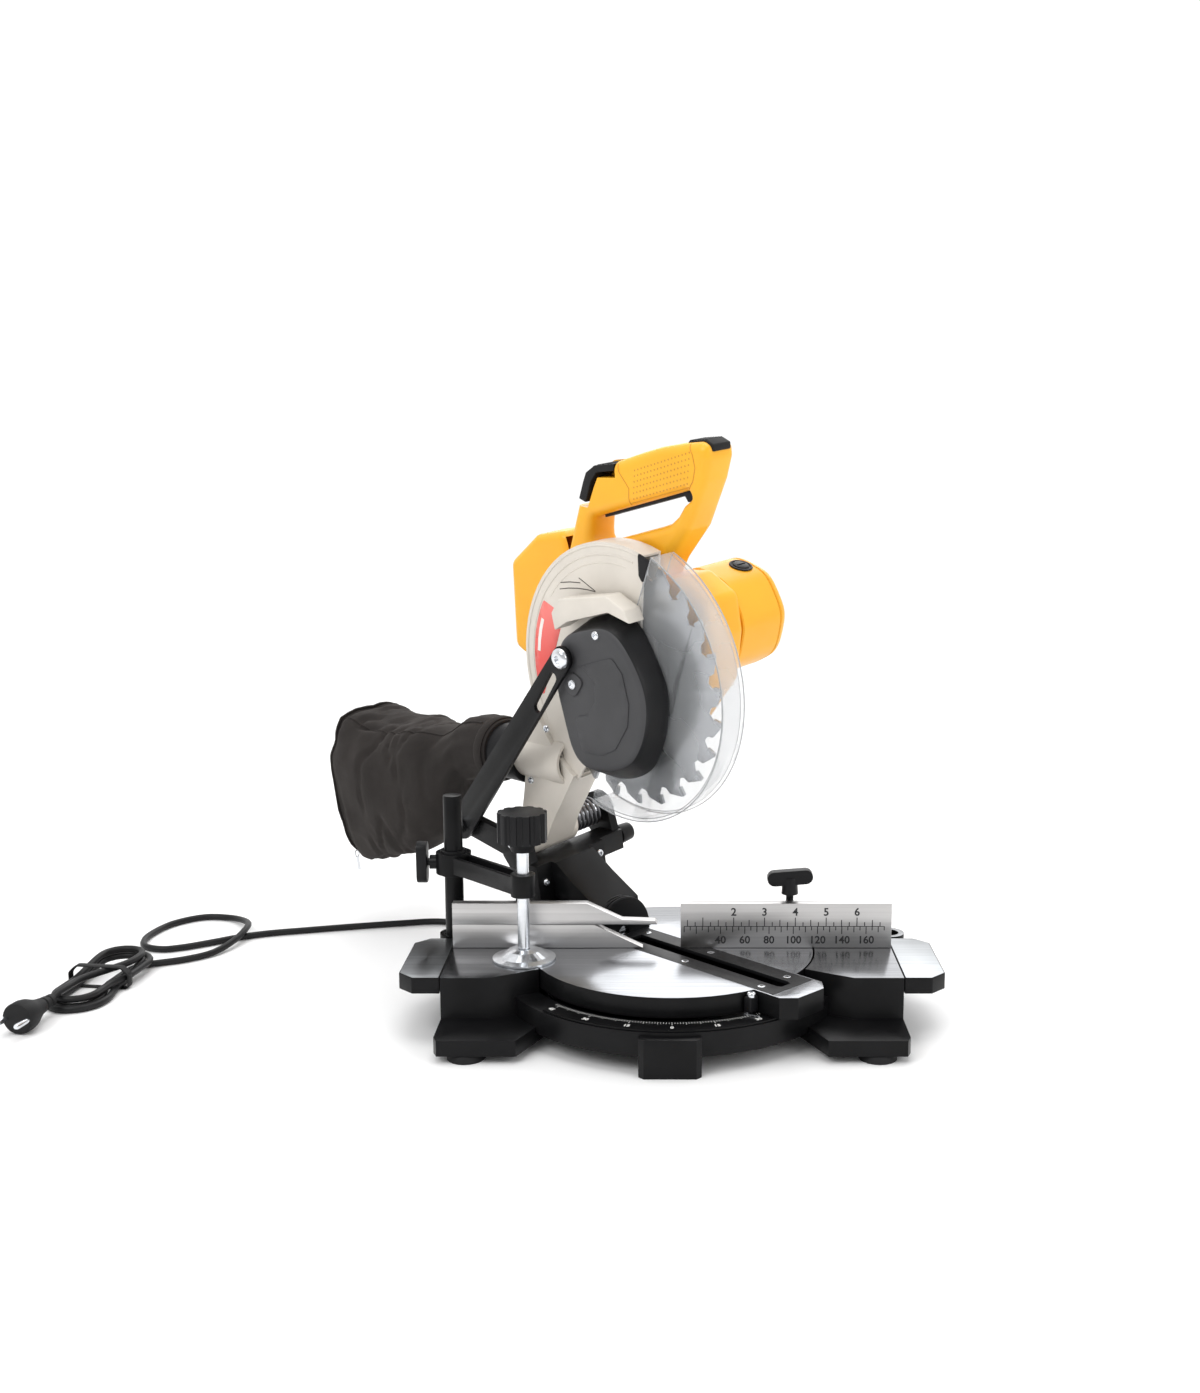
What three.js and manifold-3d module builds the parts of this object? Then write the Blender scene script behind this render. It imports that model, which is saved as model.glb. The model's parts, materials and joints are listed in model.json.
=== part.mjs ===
// Compound mitre saw with a 210 mm blade: base, turntable, bevel arm, chopping head, guards,
// hold-down clamp, dust bag and mains lead. Millimetres, +Z up, the floor at z = 0.
import * as THREE from 'three';
import { mergeVertices } from 'three/addons/utils/BufferGeometryUtils.js';
import Module from 'manifold-3d';

const wasm = await Module();
wasm.setup();

// ---------------------------------------------------------------- driving dimensions
const ORIGIN = { x: -59.6, y: 86.9 };    // middle of the whole tool's plan, seen from the mitre pivot
const TABLE_H = 52;                      // table top above the floor
const MITRE = 45;                        // turntable angle at rest, degrees to the right
const BEVEL = 7.5;                       // head lean at rest, degrees to the left
const GAP = 0.3;                         // clearance between pieces that touch

const BLADE = { r: 105, teeth: 24, half: 0.9, y: 22, z: 228 };
const MOTOR = { y: -12, z: 264, r: 42, end: 103 };
const CHOP = { y: 148, z: 78 };
const LINK_FOOT = { y: 211.6, z: 83 };
const LINK_TOP = { y: 47, z: 252 };
const GEAR = { module: 2.3571, pinion: 7, wheel: 35 };

const BLOCK = { in: 100, out: 181, front: -72, back: 66, chamferX: 142, chamferY: -51 };
const DISC = { r: 116, thick: 16 };
const RING = { inner: 118, outer: 138, low: 14, high: 33 };
const ARM = { half: 25, tip: -149, thick: 17, chamfer: 10 };
const FENCE = { h: 38, thick: 9, leftStep: 20 };
const FOOT = { r: 14, h: 6, x: 157, front: -104, back: 84 };
const POST = { x: -185, y: 42, r: 8, top: 172 };
const CORD = { d: 6, sides: 8 };

// ---------------------------------------------------------------- small helpers
const rad = THREE.MathUtils.degToRad;
const v2 = (x, y) => new THREE.Vector2(x, y);

function solid(geometry) {
  const bare = geometry.clone();
  bare.deleteAttribute('normal');
  bare.deleteAttribute('uv');
  const welded = mergeVertices(bare, 1e-4);
  const vertProperties = new Float32Array(welded.attributes.position.array);
  const triVerts = new Uint32Array(welded.index.array);
  return new wasm.Manifold(new wasm.Mesh({ numProp: 3, vertProperties, triVerts }));
}

function union(first, ...rest) {
  return rest.reduce((sum, piece) => sum.add(piece), first);
}

function cut(first, ...rest) {
  return rest.reduce((left, piece) => left.subtract(piece), first);
}

function extrude(points, depth, holes = []) {
  const shape = new THREE.Shape(points.map(([a, b]) => v2(a, b)));
  for (const hole of holes) shape.holes.push(new THREE.Path(hole.map(([a, b]) => v2(a, b))));
  return new THREE.ExtrudeGeometry(shape, { depth, bevelEnabled: false, steps: 1 });
}

// A plan outline (x, y) raised from z0 to z1.
function prismZ(points, z0, z1, holes) {
  return solid(extrude(points, z1 - z0, holes).translate(0, 0, z0));
}

// A side outline (y, z) run across from x0 to x1.
function prismX(points, x0, x1, holes) {
  const turn = new THREE.Matrix4().set(0, 0, 1, x0, 1, 0, 0, 0, 0, 1, 0, 0, 0, 0, 0, 1);
  return solid(extrude(points, x1 - x0, holes).applyMatrix4(turn));
}

// A front outline (x, z) run back from y0 to y1.
function prismY(points, y0, y1, holes) {
  return solid(extrude(points, y1 - y0, holes).rotateX(Math.PI / 2).translate(0, y1, 0));
}

function box(x0, x1, y0, y1, z0, z1) {
  const geometry = new THREE.BoxGeometry(x1 - x0, y1 - y0, z1 - z0);
  return solid(geometry.translate((x0 + x1) / 2, (y0 + y1) / 2, (z0 + z1) / 2));
}

function rod(r0, r1, length, sides) {
  return new THREE.CylinderGeometry(r1, r0, length, sides).translate(0, length / 2, 0);
}

function cylZ(x, y, z0, z1, r, sides = 24, r1 = r) {
  return solid(rod(r, r1, z1 - z0, sides).rotateX(Math.PI / 2).translate(x, y, z0));
}

function cylX(y, z, x0, x1, r, sides = 24, r1 = r) {
  return solid(rod(r, r1, x1 - x0, sides).rotateZ(-Math.PI / 2).translate(x0, y, z));
}

function cylY(x, z, y0, y1, r, sides = 24, r1 = r) {
  return solid(rod(r, r1, y1 - y0, sides).translate(x, y0, z));
}

function circle(cx, cy, r, sides = 24) {
  const corner = (k) => (k * 2 * Math.PI) / sides;
  return Array.from({ length: sides }, (_, k) => [cx + r * Math.cos(corner(k)), cy + r * Math.sin(corner(k))]);
}

// Points of an arc about the blade axis; 0 degrees is the front and 90 is straight up.
function bladeArc(r, from, to, steps) {
  return Array.from({ length: steps + 1 }, (_, k) => {
    const a = rad(from + ((to - from) * k) / steps);
    return [BLADE.y - r * Math.cos(a), BLADE.z + r * Math.sin(a)];
  });
}

function sector(r0, r1, from, to, steps) {
  return [...bladeArc(r1, from, to, steps), ...bladeArc(r0, to, from, steps)];
}

// A straight bar with round ends, in a side view.
function capsule(a, b, ra, rb, steps = 8) {
  const along = Math.atan2(b.z - a.z, b.y - a.y);
  const end = (c, r, start) => Array.from({ length: steps + 1 }, (_, k) => {
    const t = start + (k * Math.PI) / steps;
    return [c.y + r * Math.cos(t), c.z + r * Math.sin(t)];
  });
  return [...end(a, ra, along + Math.PI / 2), ...end(b, rb, along - Math.PI / 2)];
}

function hexagon(cx, cy, across) {
  return circle(cx, cy, across / Math.sqrt(3), 6);
}

// Skin over rings of equal point counts, closed at both ends.
function loft(rings, flatEnd) {
  const count = rings[0].length;
  const positions = rings.flat().flatMap((p) => [p.x, p.y, p.z]);
  const index = [];
  for (let s = 0; s + 1 < rings.length; s += 1) {
    for (let k = 0; k < count; k += 1) {
      const a = s * count + k;
      const b = s * count + ((k + 1) % count);
      index.push(a, b, b + count, a, b + count, a + count);
    }
  }
  const cap = THREE.ShapeUtils.triangulateShape(rings[0].map(flatEnd), []);
  const last = (rings.length - 1) * count;
  for (const [a, b, c] of cap) {
    index.push(c, b, a);
    index.push(a + last, b + last, c + last);
  }
  const geometry = new THREE.BufferGeometry();
  geometry.setAttribute('position', new THREE.Float32BufferAttribute(positions, 3));
  geometry.setIndex(index);
  return solid(geometry);
}

function tube(points, r, sides, steps, closed = false) {
  const path = new THREE.CatmullRomCurve3(points, closed, 'centripetal');
  const shape = new THREE.Shape(circle(0, 0, r, sides).map(([a, b]) => v2(a, b)));
  return solid(new THREE.ExtrudeGeometry(shape, { steps, extrudePath: path, bevelEnabled: false }));
}

function finish(color, roughness, metalness, opacity = 1) {
  const look = { color, roughness, metalness, opacity, transparent: opacity < 1 };
  return new THREE.MeshStandardMaterial(look);
}

function add(group, name, body, material) {
  const { numProp, vertProperties, triVerts } = body.getMesh();
  const geometry = new THREE.BufferGeometry();
  geometry.setAttribute('position', new THREE.Float32BufferAttribute(vertProperties, numProp));
  geometry.setIndex([...triVerts]);
  geometry.computeVertexNormals();
  const mesh = new THREE.Mesh(geometry, material());
  mesh.name = name;
  group.add(mesh);
}

// ---------------------------------------------------------------- materials
const blackPaint = () => finish('#17181a', 0.45, 0.1);
const blackPlastic = () => finish('#1c1c1d', 0.5, 0);
const rubber = () => finish('#141414', 0.85, 0);
const machined = () => finish('#b9bcc0', 0.25, 1);
const steel = () => finish('#c3c6ca', 0.3, 1);
const darkSteel = () => finish('#5a5c60', 0.4, 1);
const castGrey = () => finish('#cfc8bd', 0.5, 0.15);
const yellow = () => finish('#f9b92a', 0.4, 0);
const clear = () => finish('#e9eef2', 0.08, 0, 0.25);
const coverGrey = () => finish('#4c4d50', 0.55, 0);
const copper = () => finish('#b5643a', 0.35, 1);
const cloth = () => finish('#38332f', 0.95, 0);

// ---------------------------------------------------------------- base
function sideBlock(side) {
  const plan = [
    [BLOCK.in, -30], [105, BLOCK.chamferY], [BLOCK.chamferX, BLOCK.front], [BLOCK.out, BLOCK.front],
    [BLOCK.out, BLOCK.back], [117, BLOCK.back], [BLOCK.in, 46],
  ];
  const outline = side > 0 ? plan : plan.map(([x, y]) => [-x, y]).reverse();
  return prismZ(outline, 18, TABLE_H);
}

function cornerFlange(side) {
  const plan = [
    [92, -60], [118, -117], [178, -117], [BLOCK.out, -110], [BLOCK.out, 98], [112, 98], [92, 60],
  ];
  const outline = side > 0 ? plan : plan.map(([x, y]) => [-x, y]).reverse();
  return prismZ(outline, FOOT.h, 18.5);
}

function baseCasting() {
  const ring = cylZ(0, 0, RING.low, RING.high, RING.outer, 60);
  const lip = cylZ(0, 0, RING.low - 6, RING.low + 1, RING.outer - 16, 32);
  const frontFoot = prismZ([[-25, -141], [-21, -145], [18, -145], [22, -141], [22, -108], [-25, -108]], 0, 30);
  const body = union(ring, lip, frontFoot, sideBlock(1), sideBlock(-1), cornerFlange(1), cornerFlange(-1));
  const well = cylZ(0, 0, 20, TABLE_H + 1, RING.inner - 0.6, 60);
  const boss = cylZ(0, 0, 19, 34, 22, 32);
  const bore = cylZ(0, 0, 0, 40, 6.4, 24);
  const underside = cylZ(0, 0, 0, 15, 100, 48);
  const hollows = [-1, 1].map((s) => box(...(s > 0 ? [126, 174] : [-174, -126]), -62, 56, -1, 44));
  const bosses = [-1, 1].map((s) => cylZ(s * POST.x, POST.y, 18, TABLE_H, 13, 24));
  const postHoles = [-1, 1].map((s) => cylZ(s * POST.x, POST.y, 24, TABLE_H + 1, POST.r + 0.2, 24));
  const gland = cylY(-150, 34, 40, 80, 6.5, 20);
  return cut(union(cut(union(body, ...bosses), well), boss), bore, underside, ...hollows, ...postHoles, gland);
}

function scaleRing() {
  const plate = cylZ(0, 0, RING.high + GAP, RING.high + 1.5, RING.outer - 1.5, 60);
  const front = box(-200, 200, -200, -40, 30, 40);
  const middle = cylZ(0, 0, 30, 40, RING.inner + 0.6, 60);
  const blocks = [-1, 1].map((s) => box(...(s > 0 ? [99, 200] : [-200, -99]), -120, 80, 30, 40));
  return cut(plate.intersect(front), middle, ...blocks);
}

function wing(side) {
  const plan = [
    [BLOCK.out + 0.6, -72], [203, -72], [215, -60], [215, 14], [203, 26], [BLOCK.out + 0.6, 26],
  ];
  const outline = side > 0 ? plan : plan.map(([x, y]) => [-x, y]).reverse();
  const plate = prismZ(outline, TABLE_H - 13, TABLE_H);
  const [a, b] = side > 0 ? [BLOCK.out + 5, 209] : [-209, -BLOCK.out - 5];
  return cut(plate, box(a, b, -62, 16, TABLE_H - 14, TABLE_H - 5));
}

function rubberFoot(x, y) {
  return cylZ(x, y, 0, FOOT.h - GAP, FOOT.r + 1, 20, FOOT.r - 1);
}

function buildBase(group) {
  add(group, 'base_casting', baseCasting(), blackPaint);
  add(group, 'mitre_scale', scaleRing(), blackPaint);
  for (const [name, side] of [['wing_left', -1], ['wing_right', 1]]) add(group, name, wing(side), machined);
  const feet = { foot_front_left: [-1, FOOT.front], foot_front_right: [1, FOOT.front],
    foot_rear_left: [-1, FOOT.back], foot_rear_right: [1, FOOT.back] };
  for (const [name, [side, y]] of Object.entries(feet)) add(group, name, rubberFoot(side * FOOT.x, y), rubber);
}

// ---------------------------------------------------------------- fences
function fenceRight() {
  const z0 = TABLE_H + GAP;
  const plan = [[7, 0], [BLOCK.out, 0], [BLOCK.out, FENCE.thick], [18, FENCE.thick]];
  const plate = prismZ(plan, z0, TABLE_H + FENCE.h);
  const ledge = box(124, BLOCK.out - 22, FENCE.thick - 1, 34, z0, z0 + 8);
  const rib = box(20, 118, FENCE.thick - 1, 16, TABLE_H + 10, TABLE_H + 18);
  const boss = cylZ(98, 16, TABLE_H + 9, TABLE_H + 26, 8, 20);
  return cut(union(plate, ledge, rib, boss), cylZ(98, 16, TABLE_H + 12, TABLE_H + 30, 3.6, 12));
}

function fenceLeftLower() {
  const z0 = TABLE_H + GAP;
  const top = TABLE_H + FENCE.leftStep;
  const plate = prismY([[-BLOCK.out, z0], [-24, z0], [-64, top], [-BLOCK.out, top]], 0, FENCE.thick);
  const ledge = box(-158, -124, FENCE.thick - 1, 34, z0, z0 + 8);
  return union(plate, ledge);
}

function fenceLeftUpper() {
  const low = TABLE_H + FENCE.leftStep + GAP;
  const top = TABLE_H + FENCE.h;
  const face = prismY([[-BLOCK.out, low], [-12, low], [-14, low + 3], [-41, low + 4], [-70, top],
    [-BLOCK.out, top]], 0, FENCE.thick);
  const guide = box(-160, -70, FENCE.thick + GAP, FENCE.thick + 5, TABLE_H + 9, top - 3);
  const bridge = box(-160, -70, FENCE.thick - 1, FENCE.thick + 2, low + 2, top - 3);
  return union(face, guide, bridge);
}

function wingBolt(x, y, z) {
  const shank = cylZ(x, y, z - 10, z + 20, 3.1, 16);
  const hub = cylZ(x, y, z + 16, z + 30, 7, 20, 6);
  const paddle = prismY(capsule({ y: x - 13, z: z + 29 }, { y: x + 13, z: z + 31 }, 6, 6), y - 4.5, y + 4.5);
  return union(shank, hub, paddle);
}

function buildFences(group) {
  add(group, 'fence_right', fenceRight(), machined);
  add(group, 'fence_left', fenceLeftLower(), machined);
  add(group, 'fence_left_slide', fenceLeftUpper(), machined);
  add(group, 'fence_wing_bolt', wingBolt(98, 16, TABLE_H + 26), blackPlastic);
}

// ---------------------------------------------------------------- hold-down clamp
const SPINDLE = { x: -119.5, y: -27, r: 5, low: 62, neck: 142, top: 174 };

function buildClamp(group) {
  const post = cylZ(POST.x, POST.y, 24.5, POST.top, POST.r - 0.1, 28);
  add(group, 'clamp_post', post, blackPaint);
  const bushZ = 103;
  const bush = cut(cylZ(POST.x, POST.y, bushZ, bushZ + 22, 11, 28), cylZ(POST.x, POST.y, 90, 140, POST.r + 0.2, 28));
  add(group, 'clamp_bush', bush, blackPlastic);

  const dx = SPINDLE.x - POST.x;
  const dy = SPINDLE.y - POST.y;
  const reach = Math.hypot(dx, dy);
  const bar = (off, z) => {
    const body = new THREE.BoxGeometry(reach, 4, 14).translate(reach / 2, off, z + 7);
    return solid(body.rotateZ(Math.atan2(dy, dx)).translate(POST.x, POST.y, 0));
  };
  const collars = union(cylZ(POST.x, POST.y, bushZ + 2, bushZ + 20, 15, 28),
    cylZ(SPINDLE.x, SPINDLE.y, bushZ + 2, bushZ + 20, 10, 24));
  const holes = [cylZ(POST.x, POST.y, 90, 140, 11.2, 28), cylZ(SPINDLE.x, SPINDLE.y, 90, 140, SPINDLE.r + 0.3, 24)];
  const screwBoss = cylX(POST.y, bushZ + 11, POST.x - 20, POST.x - 10, 6, 20);
  const arm = cut(union(collars, bar(-7, bushZ + 4), bar(7, bushZ + 4), screwBoss), ...holes,
    cylX(POST.y, bushZ + 11, POST.x - 30, POST.x - 5, 3.4, 16));
  add(group, 'clamp_arm', arm, blackPaint);

  const thumb = union(cylX(POST.y, bushZ + 11, POST.x - 24, POST.x - 11.4, 3, 16),
    prismX(capsule({ y: POST.y, z: bushZ }, { y: POST.y, z: bushZ + 22 }, 7, 7), POST.x - 31, POST.x - 22));
  add(group, 'clamp_thumbscrew', thumb, blackPlastic);

  const foot = new THREE.LatheGeometry([v2(0, 0), v2(25.5, 0), v2(25.5, 1.6), v2(20, 3.2), v2(13, 7.5), v2(8, 9),
    v2(0, 9)], 28).rotateX(Math.PI / 2);
  const socket = cylZ(SPINDLE.x, SPINDLE.y, TABLE_H + 5, TABLE_H + 20, 4.2, 24);
  add(group, 'clamp_foot', cut(solid(foot.translate(SPINDLE.x, SPINDLE.y, TABLE_H + GAP)), socket), steel);

  const spindle = union(cylZ(SPINDLE.x, SPINDLE.y, TABLE_H + 9.8, SPINDLE.neck + 4, SPINDLE.r, 24),
    cylZ(SPINDLE.x, SPINDLE.y, TABLE_H + 5.6, TABLE_H + 10, 3.8, 24));
  add(group, 'clamp_spindle', spindle, steel);

  const flutes = Array.from({ length: 12 }, (_, k) => {
    const a = (k * Math.PI) / 6;
    return cylZ(SPINDLE.x + 21 * Math.cos(a), SPINDLE.y + 21 * Math.sin(a), 130, 190, 3.2, 8);
  });
  const knob = union(cylZ(SPINDLE.x, SPINDLE.y, SPINDLE.neck + 8, SPINDLE.top, 20, 36),
    cylZ(SPINDLE.x, SPINDLE.y, SPINDLE.neck, SPINDLE.neck + 9, 9, 28, 12));
  const knobHole = cylZ(SPINDLE.x, SPINDLE.y, SPINDLE.neck - 1, SPINDLE.neck + 4.4, SPINDLE.r + 0.3, 24);
  add(group, 'clamp_knob', cut(knob, ...flutes, knobHole), blackPlastic);
}

// ---------------------------------------------------------------- turntable (local frame, table top at z = 0)
function turntableCasting() {
  const disc = cylZ(0, 0, -DISC.thick, 0, DISC.r, 60);
  const c = ARM.chamfer;
  const arm = prismZ([[-ARM.half, -60], [-ARM.half, ARM.tip + c], [-ARM.half + c, ARM.tip],
    [ARM.half - c, ARM.tip], [ARM.half, ARM.tip + c], [ARM.half, -60]], -ARM.thick, 0);
  const tail = box(-34, 34, 90, 158, -14, 0);
  const bracket = prismY([...circle(0, 0, 40, 48).filter(([, z]) => z > -13.9), [-37.5, -14], [37.5, -14]]
    .sort((a, b) => Math.atan2(a[1], a[0]) - Math.atan2(b[1], b[0])), 149, 158);
  const hub = cylZ(0, 0, -18 + GAP, -DISC.thick + 1, 20, 32);
  const body = union(disc, arm, tail, bracket, hub);
  const pocket = cut(cylZ(0, 0, -DISC.thick - 1, -7, 108, 36), cylZ(0, 0, -30, 0, 30, 32),
    box(-31, 31, -116, 116, -30, 0), box(-45, 45, 40, 116, -30, 0));
  const blade = union(box(-9, 22, -100, 36, -30, 1), box(-9, 12, -124, 50, -9, 1));
  const seat = box(-23.2, 23.2, -131.2, 54.2, -3.2, 1);
  const trough = cylY(0, 0, 57, 112.8, 31.3, 48);
  const pin = cylY(0, 0, 140, 170, 6.3, 24);
  const bore = cylZ(0, 0, -30, -10, 6.4, 24);
  const noseTrough = cylY(0, 0, 112, 148.8, 11.7, 32);
  return cut(body, pocket, blade, seat, trough, noseTrough, pin, bore);
}

function kerfPlate() {
  const outline = [[-22.9, -130.9], [22.9, -130.9], [22.9, 53.9], [-22.9, 53.9]];
  const slot = [[-7, -120], [-5, -124], [5, -124], [7, -120], [7, 44], [-7, 44]];
  return prismZ(outline, -2.9, 0, [slot]);
}

function buildTurntable(group) {
  add(group, 'turntable', turntableCasting(), machined);
  add(group, 'kerf_plate', kerfPlate(), blackPlastic);
  const pointer = prismZ([[-36, -113], [-31.5, -125], [-27, -113]], -17.2, -16.3);
  const tab = box(-35, -28, -115.6, -113, -17.2, -7);
  add(group, 'mitre_pointer', union(pointer, tab), steel);
}

// ---------------------------------------------------------------- bevel arm (leaning frame)
function bevelHousing() {
  const hub = cylY(0, 0, 57.6, 112, 30, 48);
  const nose = cylY(0, 0, 57.6, 148.4, 11, 32);
  const web = prismX([[60, 0], [112, 0], [112, 25], [147, 44], [147, 60], [112, 60], [90, 44], [60, 26]], -22, 22);
  const bridge = box(-38, 68, 124, 147, 42, 60);
  const rearPlate = prismY([[-38, 13], [0, 0.8], [40, 0.8], [40, 60], [-38, 60]], 118, 147);
  const ear = (x0, x1) => prismX([[124, 42], [147, 42], [163, 62], ...bladeEar()], x0, x1);
  const tie = prismX(capsule({ y: 150, z: 72 }, LINK_FOOT, 11, 10), -38, -31);
  const body = union(hub, nose, web, bridge, rearPlate, ear(-38, -28), ear(60, 68), tie);
  const pin = cylX(CHOP.y, CHOP.z, -60, 90, 7.3, 24);
  const foot = cylX(LINK_FOOT.y, LINK_FOOT.z, -60, -20, 3.4, 16);
  const through = cylY(0, 0, 50, 160, 6.3, 24);
  const lock = cylX(135, 51, 40, 90, 4.3, 20);
  return cut(body, pin, foot, through, lock);
}

function bladeEar() {
  return Array.from({ length: 9 }, (_, k) => {
    const t = rad(-10 + k * 22.5);
    return [CHOP.y + 16 * Math.cos(t), CHOP.z + 16 * Math.sin(t)];
  });
}

function returnSpring() {
  const turns = 6;
  const points = Array.from({ length: turns * 6 + 1 }, (_, k) => {
    const t = (k * Math.PI) / 3;
    return new THREE.Vector3(27 + (30 * k) / (turns * 6), CHOP.y + 12 * Math.cos(t), CHOP.z + 12 * Math.sin(t));
  });
  return tube(points, 1.5, 5, turns * 8);
}

function buildBevelArm(group) {
  add(group, 'bevel_housing', bevelHousing(), blackPaint);
  add(group, 'chop_pin', union(cylX(CHOP.y, CHOP.z, -39.5, 70, 7, 24), prismX(hexagon(CHOP.y, CHOP.z, 17), 68.4, 75)), steel);
  add(group, 'return_spring', returnSpring(), darkSteel);
  const pivot = union(cylX(LINK_FOOT.y, LINK_FOOT.z, -46, -29, 3.1, 16), cylX(LINK_FOOT.y, LINK_FOOT.z, -49, -44.6, 7, 24));
  add(group, 'link_pivot_screw', pivot, steel);
}

function buildLocks(bevel, table) {
  const pin = union(cylX(135, 51, 46, 74, 4, 20), cylX(135, 51, 72, 86, 9, 24, 8));
  add(bevel, 'head_lock_pin', pin, blackPlastic);
  const bolt = union(cylY(0, 0, 60, 172, 6, 24), cylY(0, 0, 158.4, 163, 12, 24));
  add(table, 'bevel_bolt', bolt, steel);
  const hub = cut(cylY(0, 0, 163.4, 186, 15, 20, 13), cylY(0, 0, 160, 172.4, 6.3, 24));
  const lever = cylZ(0, 176, 10, 66, 6, 20, 5);
  const grip = solid(new THREE.SphereGeometry(9, 10, 6).translate(0, 176, 68));
  add(table, 'bevel_lock_lever', union(hub, lever, grip), blackPlastic);
}

// ---------------------------------------------------------------- head casting and fixed guard
const SHELL = { r: 112, wall: 2, half: 9.5, from: 67, to: 236 };

function fixedGuard() {
  const rim = prismX(sector(SHELL.r - SHELL.wall, SHELL.r, SHELL.from, SHELL.to, 30), -SHELL.half, SHELL.half);
  const side = (x0) => {
    const face = [...bladeArc(SHELL.r - 0.5, SHELL.from, SHELL.to, 30), [BLADE.y + 8, BLADE.z - 26], [BLADE.y - 26, BLADE.z + 8]];
    return cut(prismX(face, x0, x0 + SHELL.wall), cylX(BLADE.y, BLADE.z, -20, 20, 25, 32));
  };
  return union(rim, side(-SHELL.half), side(SHELL.half - SHELL.wall));
}

function headCasting() {
  const plate = prismX([...sector(40, 98, 184, 243, 12)], SHELL.half - 0.5, 17.5);
  const gearFace = cylX(BLADE.y, BLADE.z, 13.5, 17.5, 56, 32);
  const bearingTube = cylX(BLADE.y, BLADE.z, 4, 17, 24.8, 32);
  const spine = [[70, 190], [128, 190], [140, 166], [152, 120], [164, 82], [160, 66], [148, 61], [134, 68],
    [120, 92], [96, 124], [84, 140]];
  const arm = cut(prismX(spine, -14, 17.6), cylX(BLADE.y, BLADE.z, -40, 13.5, 108, 48));
  const barrel = cylX(CHOP.y, CHOP.z, -27.5, 24, 17, 32);
  const port = cylY(0, 147, 112, 166, 21, 24);
  const portHole = cylY(0, 147, 100, 170, 17.5, 24);
  const duct = box(-7.4, 7.4, 100, 130, 138, 156);
  const body = union(fixedGuard(), plate, gearFace, bearingTube, arm, barrel, cut(port, cylX(BLADE.y, BLADE.z, -40, 40, 112.5, 48)));
  return cut(body, portHole, duct, cylX(CHOP.y, CHOP.z, -60, 60, 7.3, 24), cylX(BLADE.y, BLADE.z, -20, 40, 11.4, 32));
}

// ---------------------------------------------------------------- yellow housings and handle
const HOUSE = { x0: 18, x1: 58, wall: 3 };

function houseOutline(inset) {
  const corners = [[184, 236], [176, 312], [139, 336], [99.5, 341], [98.5, 319.2], [70, 316.2], [0, 308.2],
    [-30, 309], [-56, 292], [-58, 262], [-48, 222], [-16, 187], [40, 174], [104, 194]];
  const centre = [62, 262];
  return corners.map(([y, z]) => {
    const dy = centre[0] - y;
    const dz = centre[1] - z;
    const d = Math.hypot(dy, dz);
    return [y + (dy / d) * inset, z + (dz / d) * inset];
  }).reverse();
}

function mainHousing() {
  const shell = prismX(houseOutline(0), HOUSE.x0, HOUSE.x1);
  const inside = prismX(houseOutline(4), HOUSE.x0 - 1, HOUSE.x1 - HOUSE.wall);
  const motorHole = cylX(MOTOR.y, MOTOR.z, HOUSE.x1 - 6, HOUSE.x1 + 5, MOTOR.r - HOUSE.wall, 40);
  const nose = cylX(BLADE.y, BLADE.z, HOUSE.x1 - 1, HOUSE.x1 + 5, 16, 28);
  const web = box(52, 56, 52, 90, 180, 330);
  const seat = cylX(BLADE.y, BLADE.z, 40, HOUSE.x1 + 1, 16, 28);
  return cut(union(cut(shell, inside), nose, seat.intersect(shell), web.intersect(shell)), motorHole,
    cylX(BLADE.y, BLADE.z, 30, HOUSE.x1 + 2, 11.4, 28));
}

function motorTube() {
  const x0 = HOUSE.x1 + GAP;
  const x1 = MOTOR.end;
  const ribs = [20, 75, 130, 200, 250, 310].map((deg) => {
    const a = rad(deg);
    return cylX(MOTOR.y + 40.5 * Math.cos(a), MOTOR.z + 40.5 * Math.sin(a), x0, x1, 4, 8);
  });
  const shell = union(cylX(MOTOR.y, MOTOR.z, x0, x1, MOTOR.r, 36), ...ribs);
  const keepNose = cylX(BLADE.y, BLADE.z, 50, HOUSE.x1 + 5.4, 16.4, 28);
  const inside = cylX(MOTOR.y, MOTOR.z, x0 - 1, x1 + 1, MOTOR.r - 3, 32);
  return cut(shell, inside, keepNose, brushCylinder(BRUSH.a, 20, 60, 7.4));
}

const BRUSH = { x: 92, a: 110 };

// A short rod standing radially on the motor, its direction turned up from the back.
function brushCylinder(deg, r0, r1, r) {
  const a = rad(deg);
  const geometry = rod(r, r, r1 - r0, 24).translate(0, r0, 0).rotateX(a);
  return solid(geometry.translate(BRUSH.x, MOTOR.y, MOTOR.z));
}

function motorEndCap() {
  const dome = [v2(0, 0), v2(MOTOR.r, 0), v2(MOTOR.r, 5), v2(MOTOR.r - 3, 10), v2(MOTOR.r - 10, 13), v2(0, 13)];
  const cap = solid(new THREE.LatheGeometry(dome, 32).rotateZ(-Math.PI / 2).translate(MOTOR.end + GAP, MOTOR.y, MOTOR.z));
  const vent = (z) => box(MOTOR.end + 8, MOTOR.end + 18, MOTOR.y - 22, MOTOR.y + 22, z - 2, z + 2);
  const vents = [-24, -14, -4, 6, 16, 26].map((up) => vent(MOTOR.z + up));
  return cut(cap, ...vents);
}

const HANDLE = { x0: 14, split: 30, x1: 46 };

function handleOutline() {
  return [[97, 320], [68, 381], [62, 391], [50, 397], [26, 398.5], [0, 404.5], [-22, 409], [-50, 413], [-70, 414],
    [-76, 410], [-75, 400], [-68, 383], [-46, 346], [-20, 320], [0, 309], [70, 317]].reverse();
}

// The finger opening; its upper edge is the underside of the grip.
function handleOpening() {
  return [[61, 353.5], [-50, 377], [-53, 371], [-43, 365], [-36, 357], [-27, 351], [-18, 348.5], [66, 328.8 + 1.5]];
}

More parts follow.
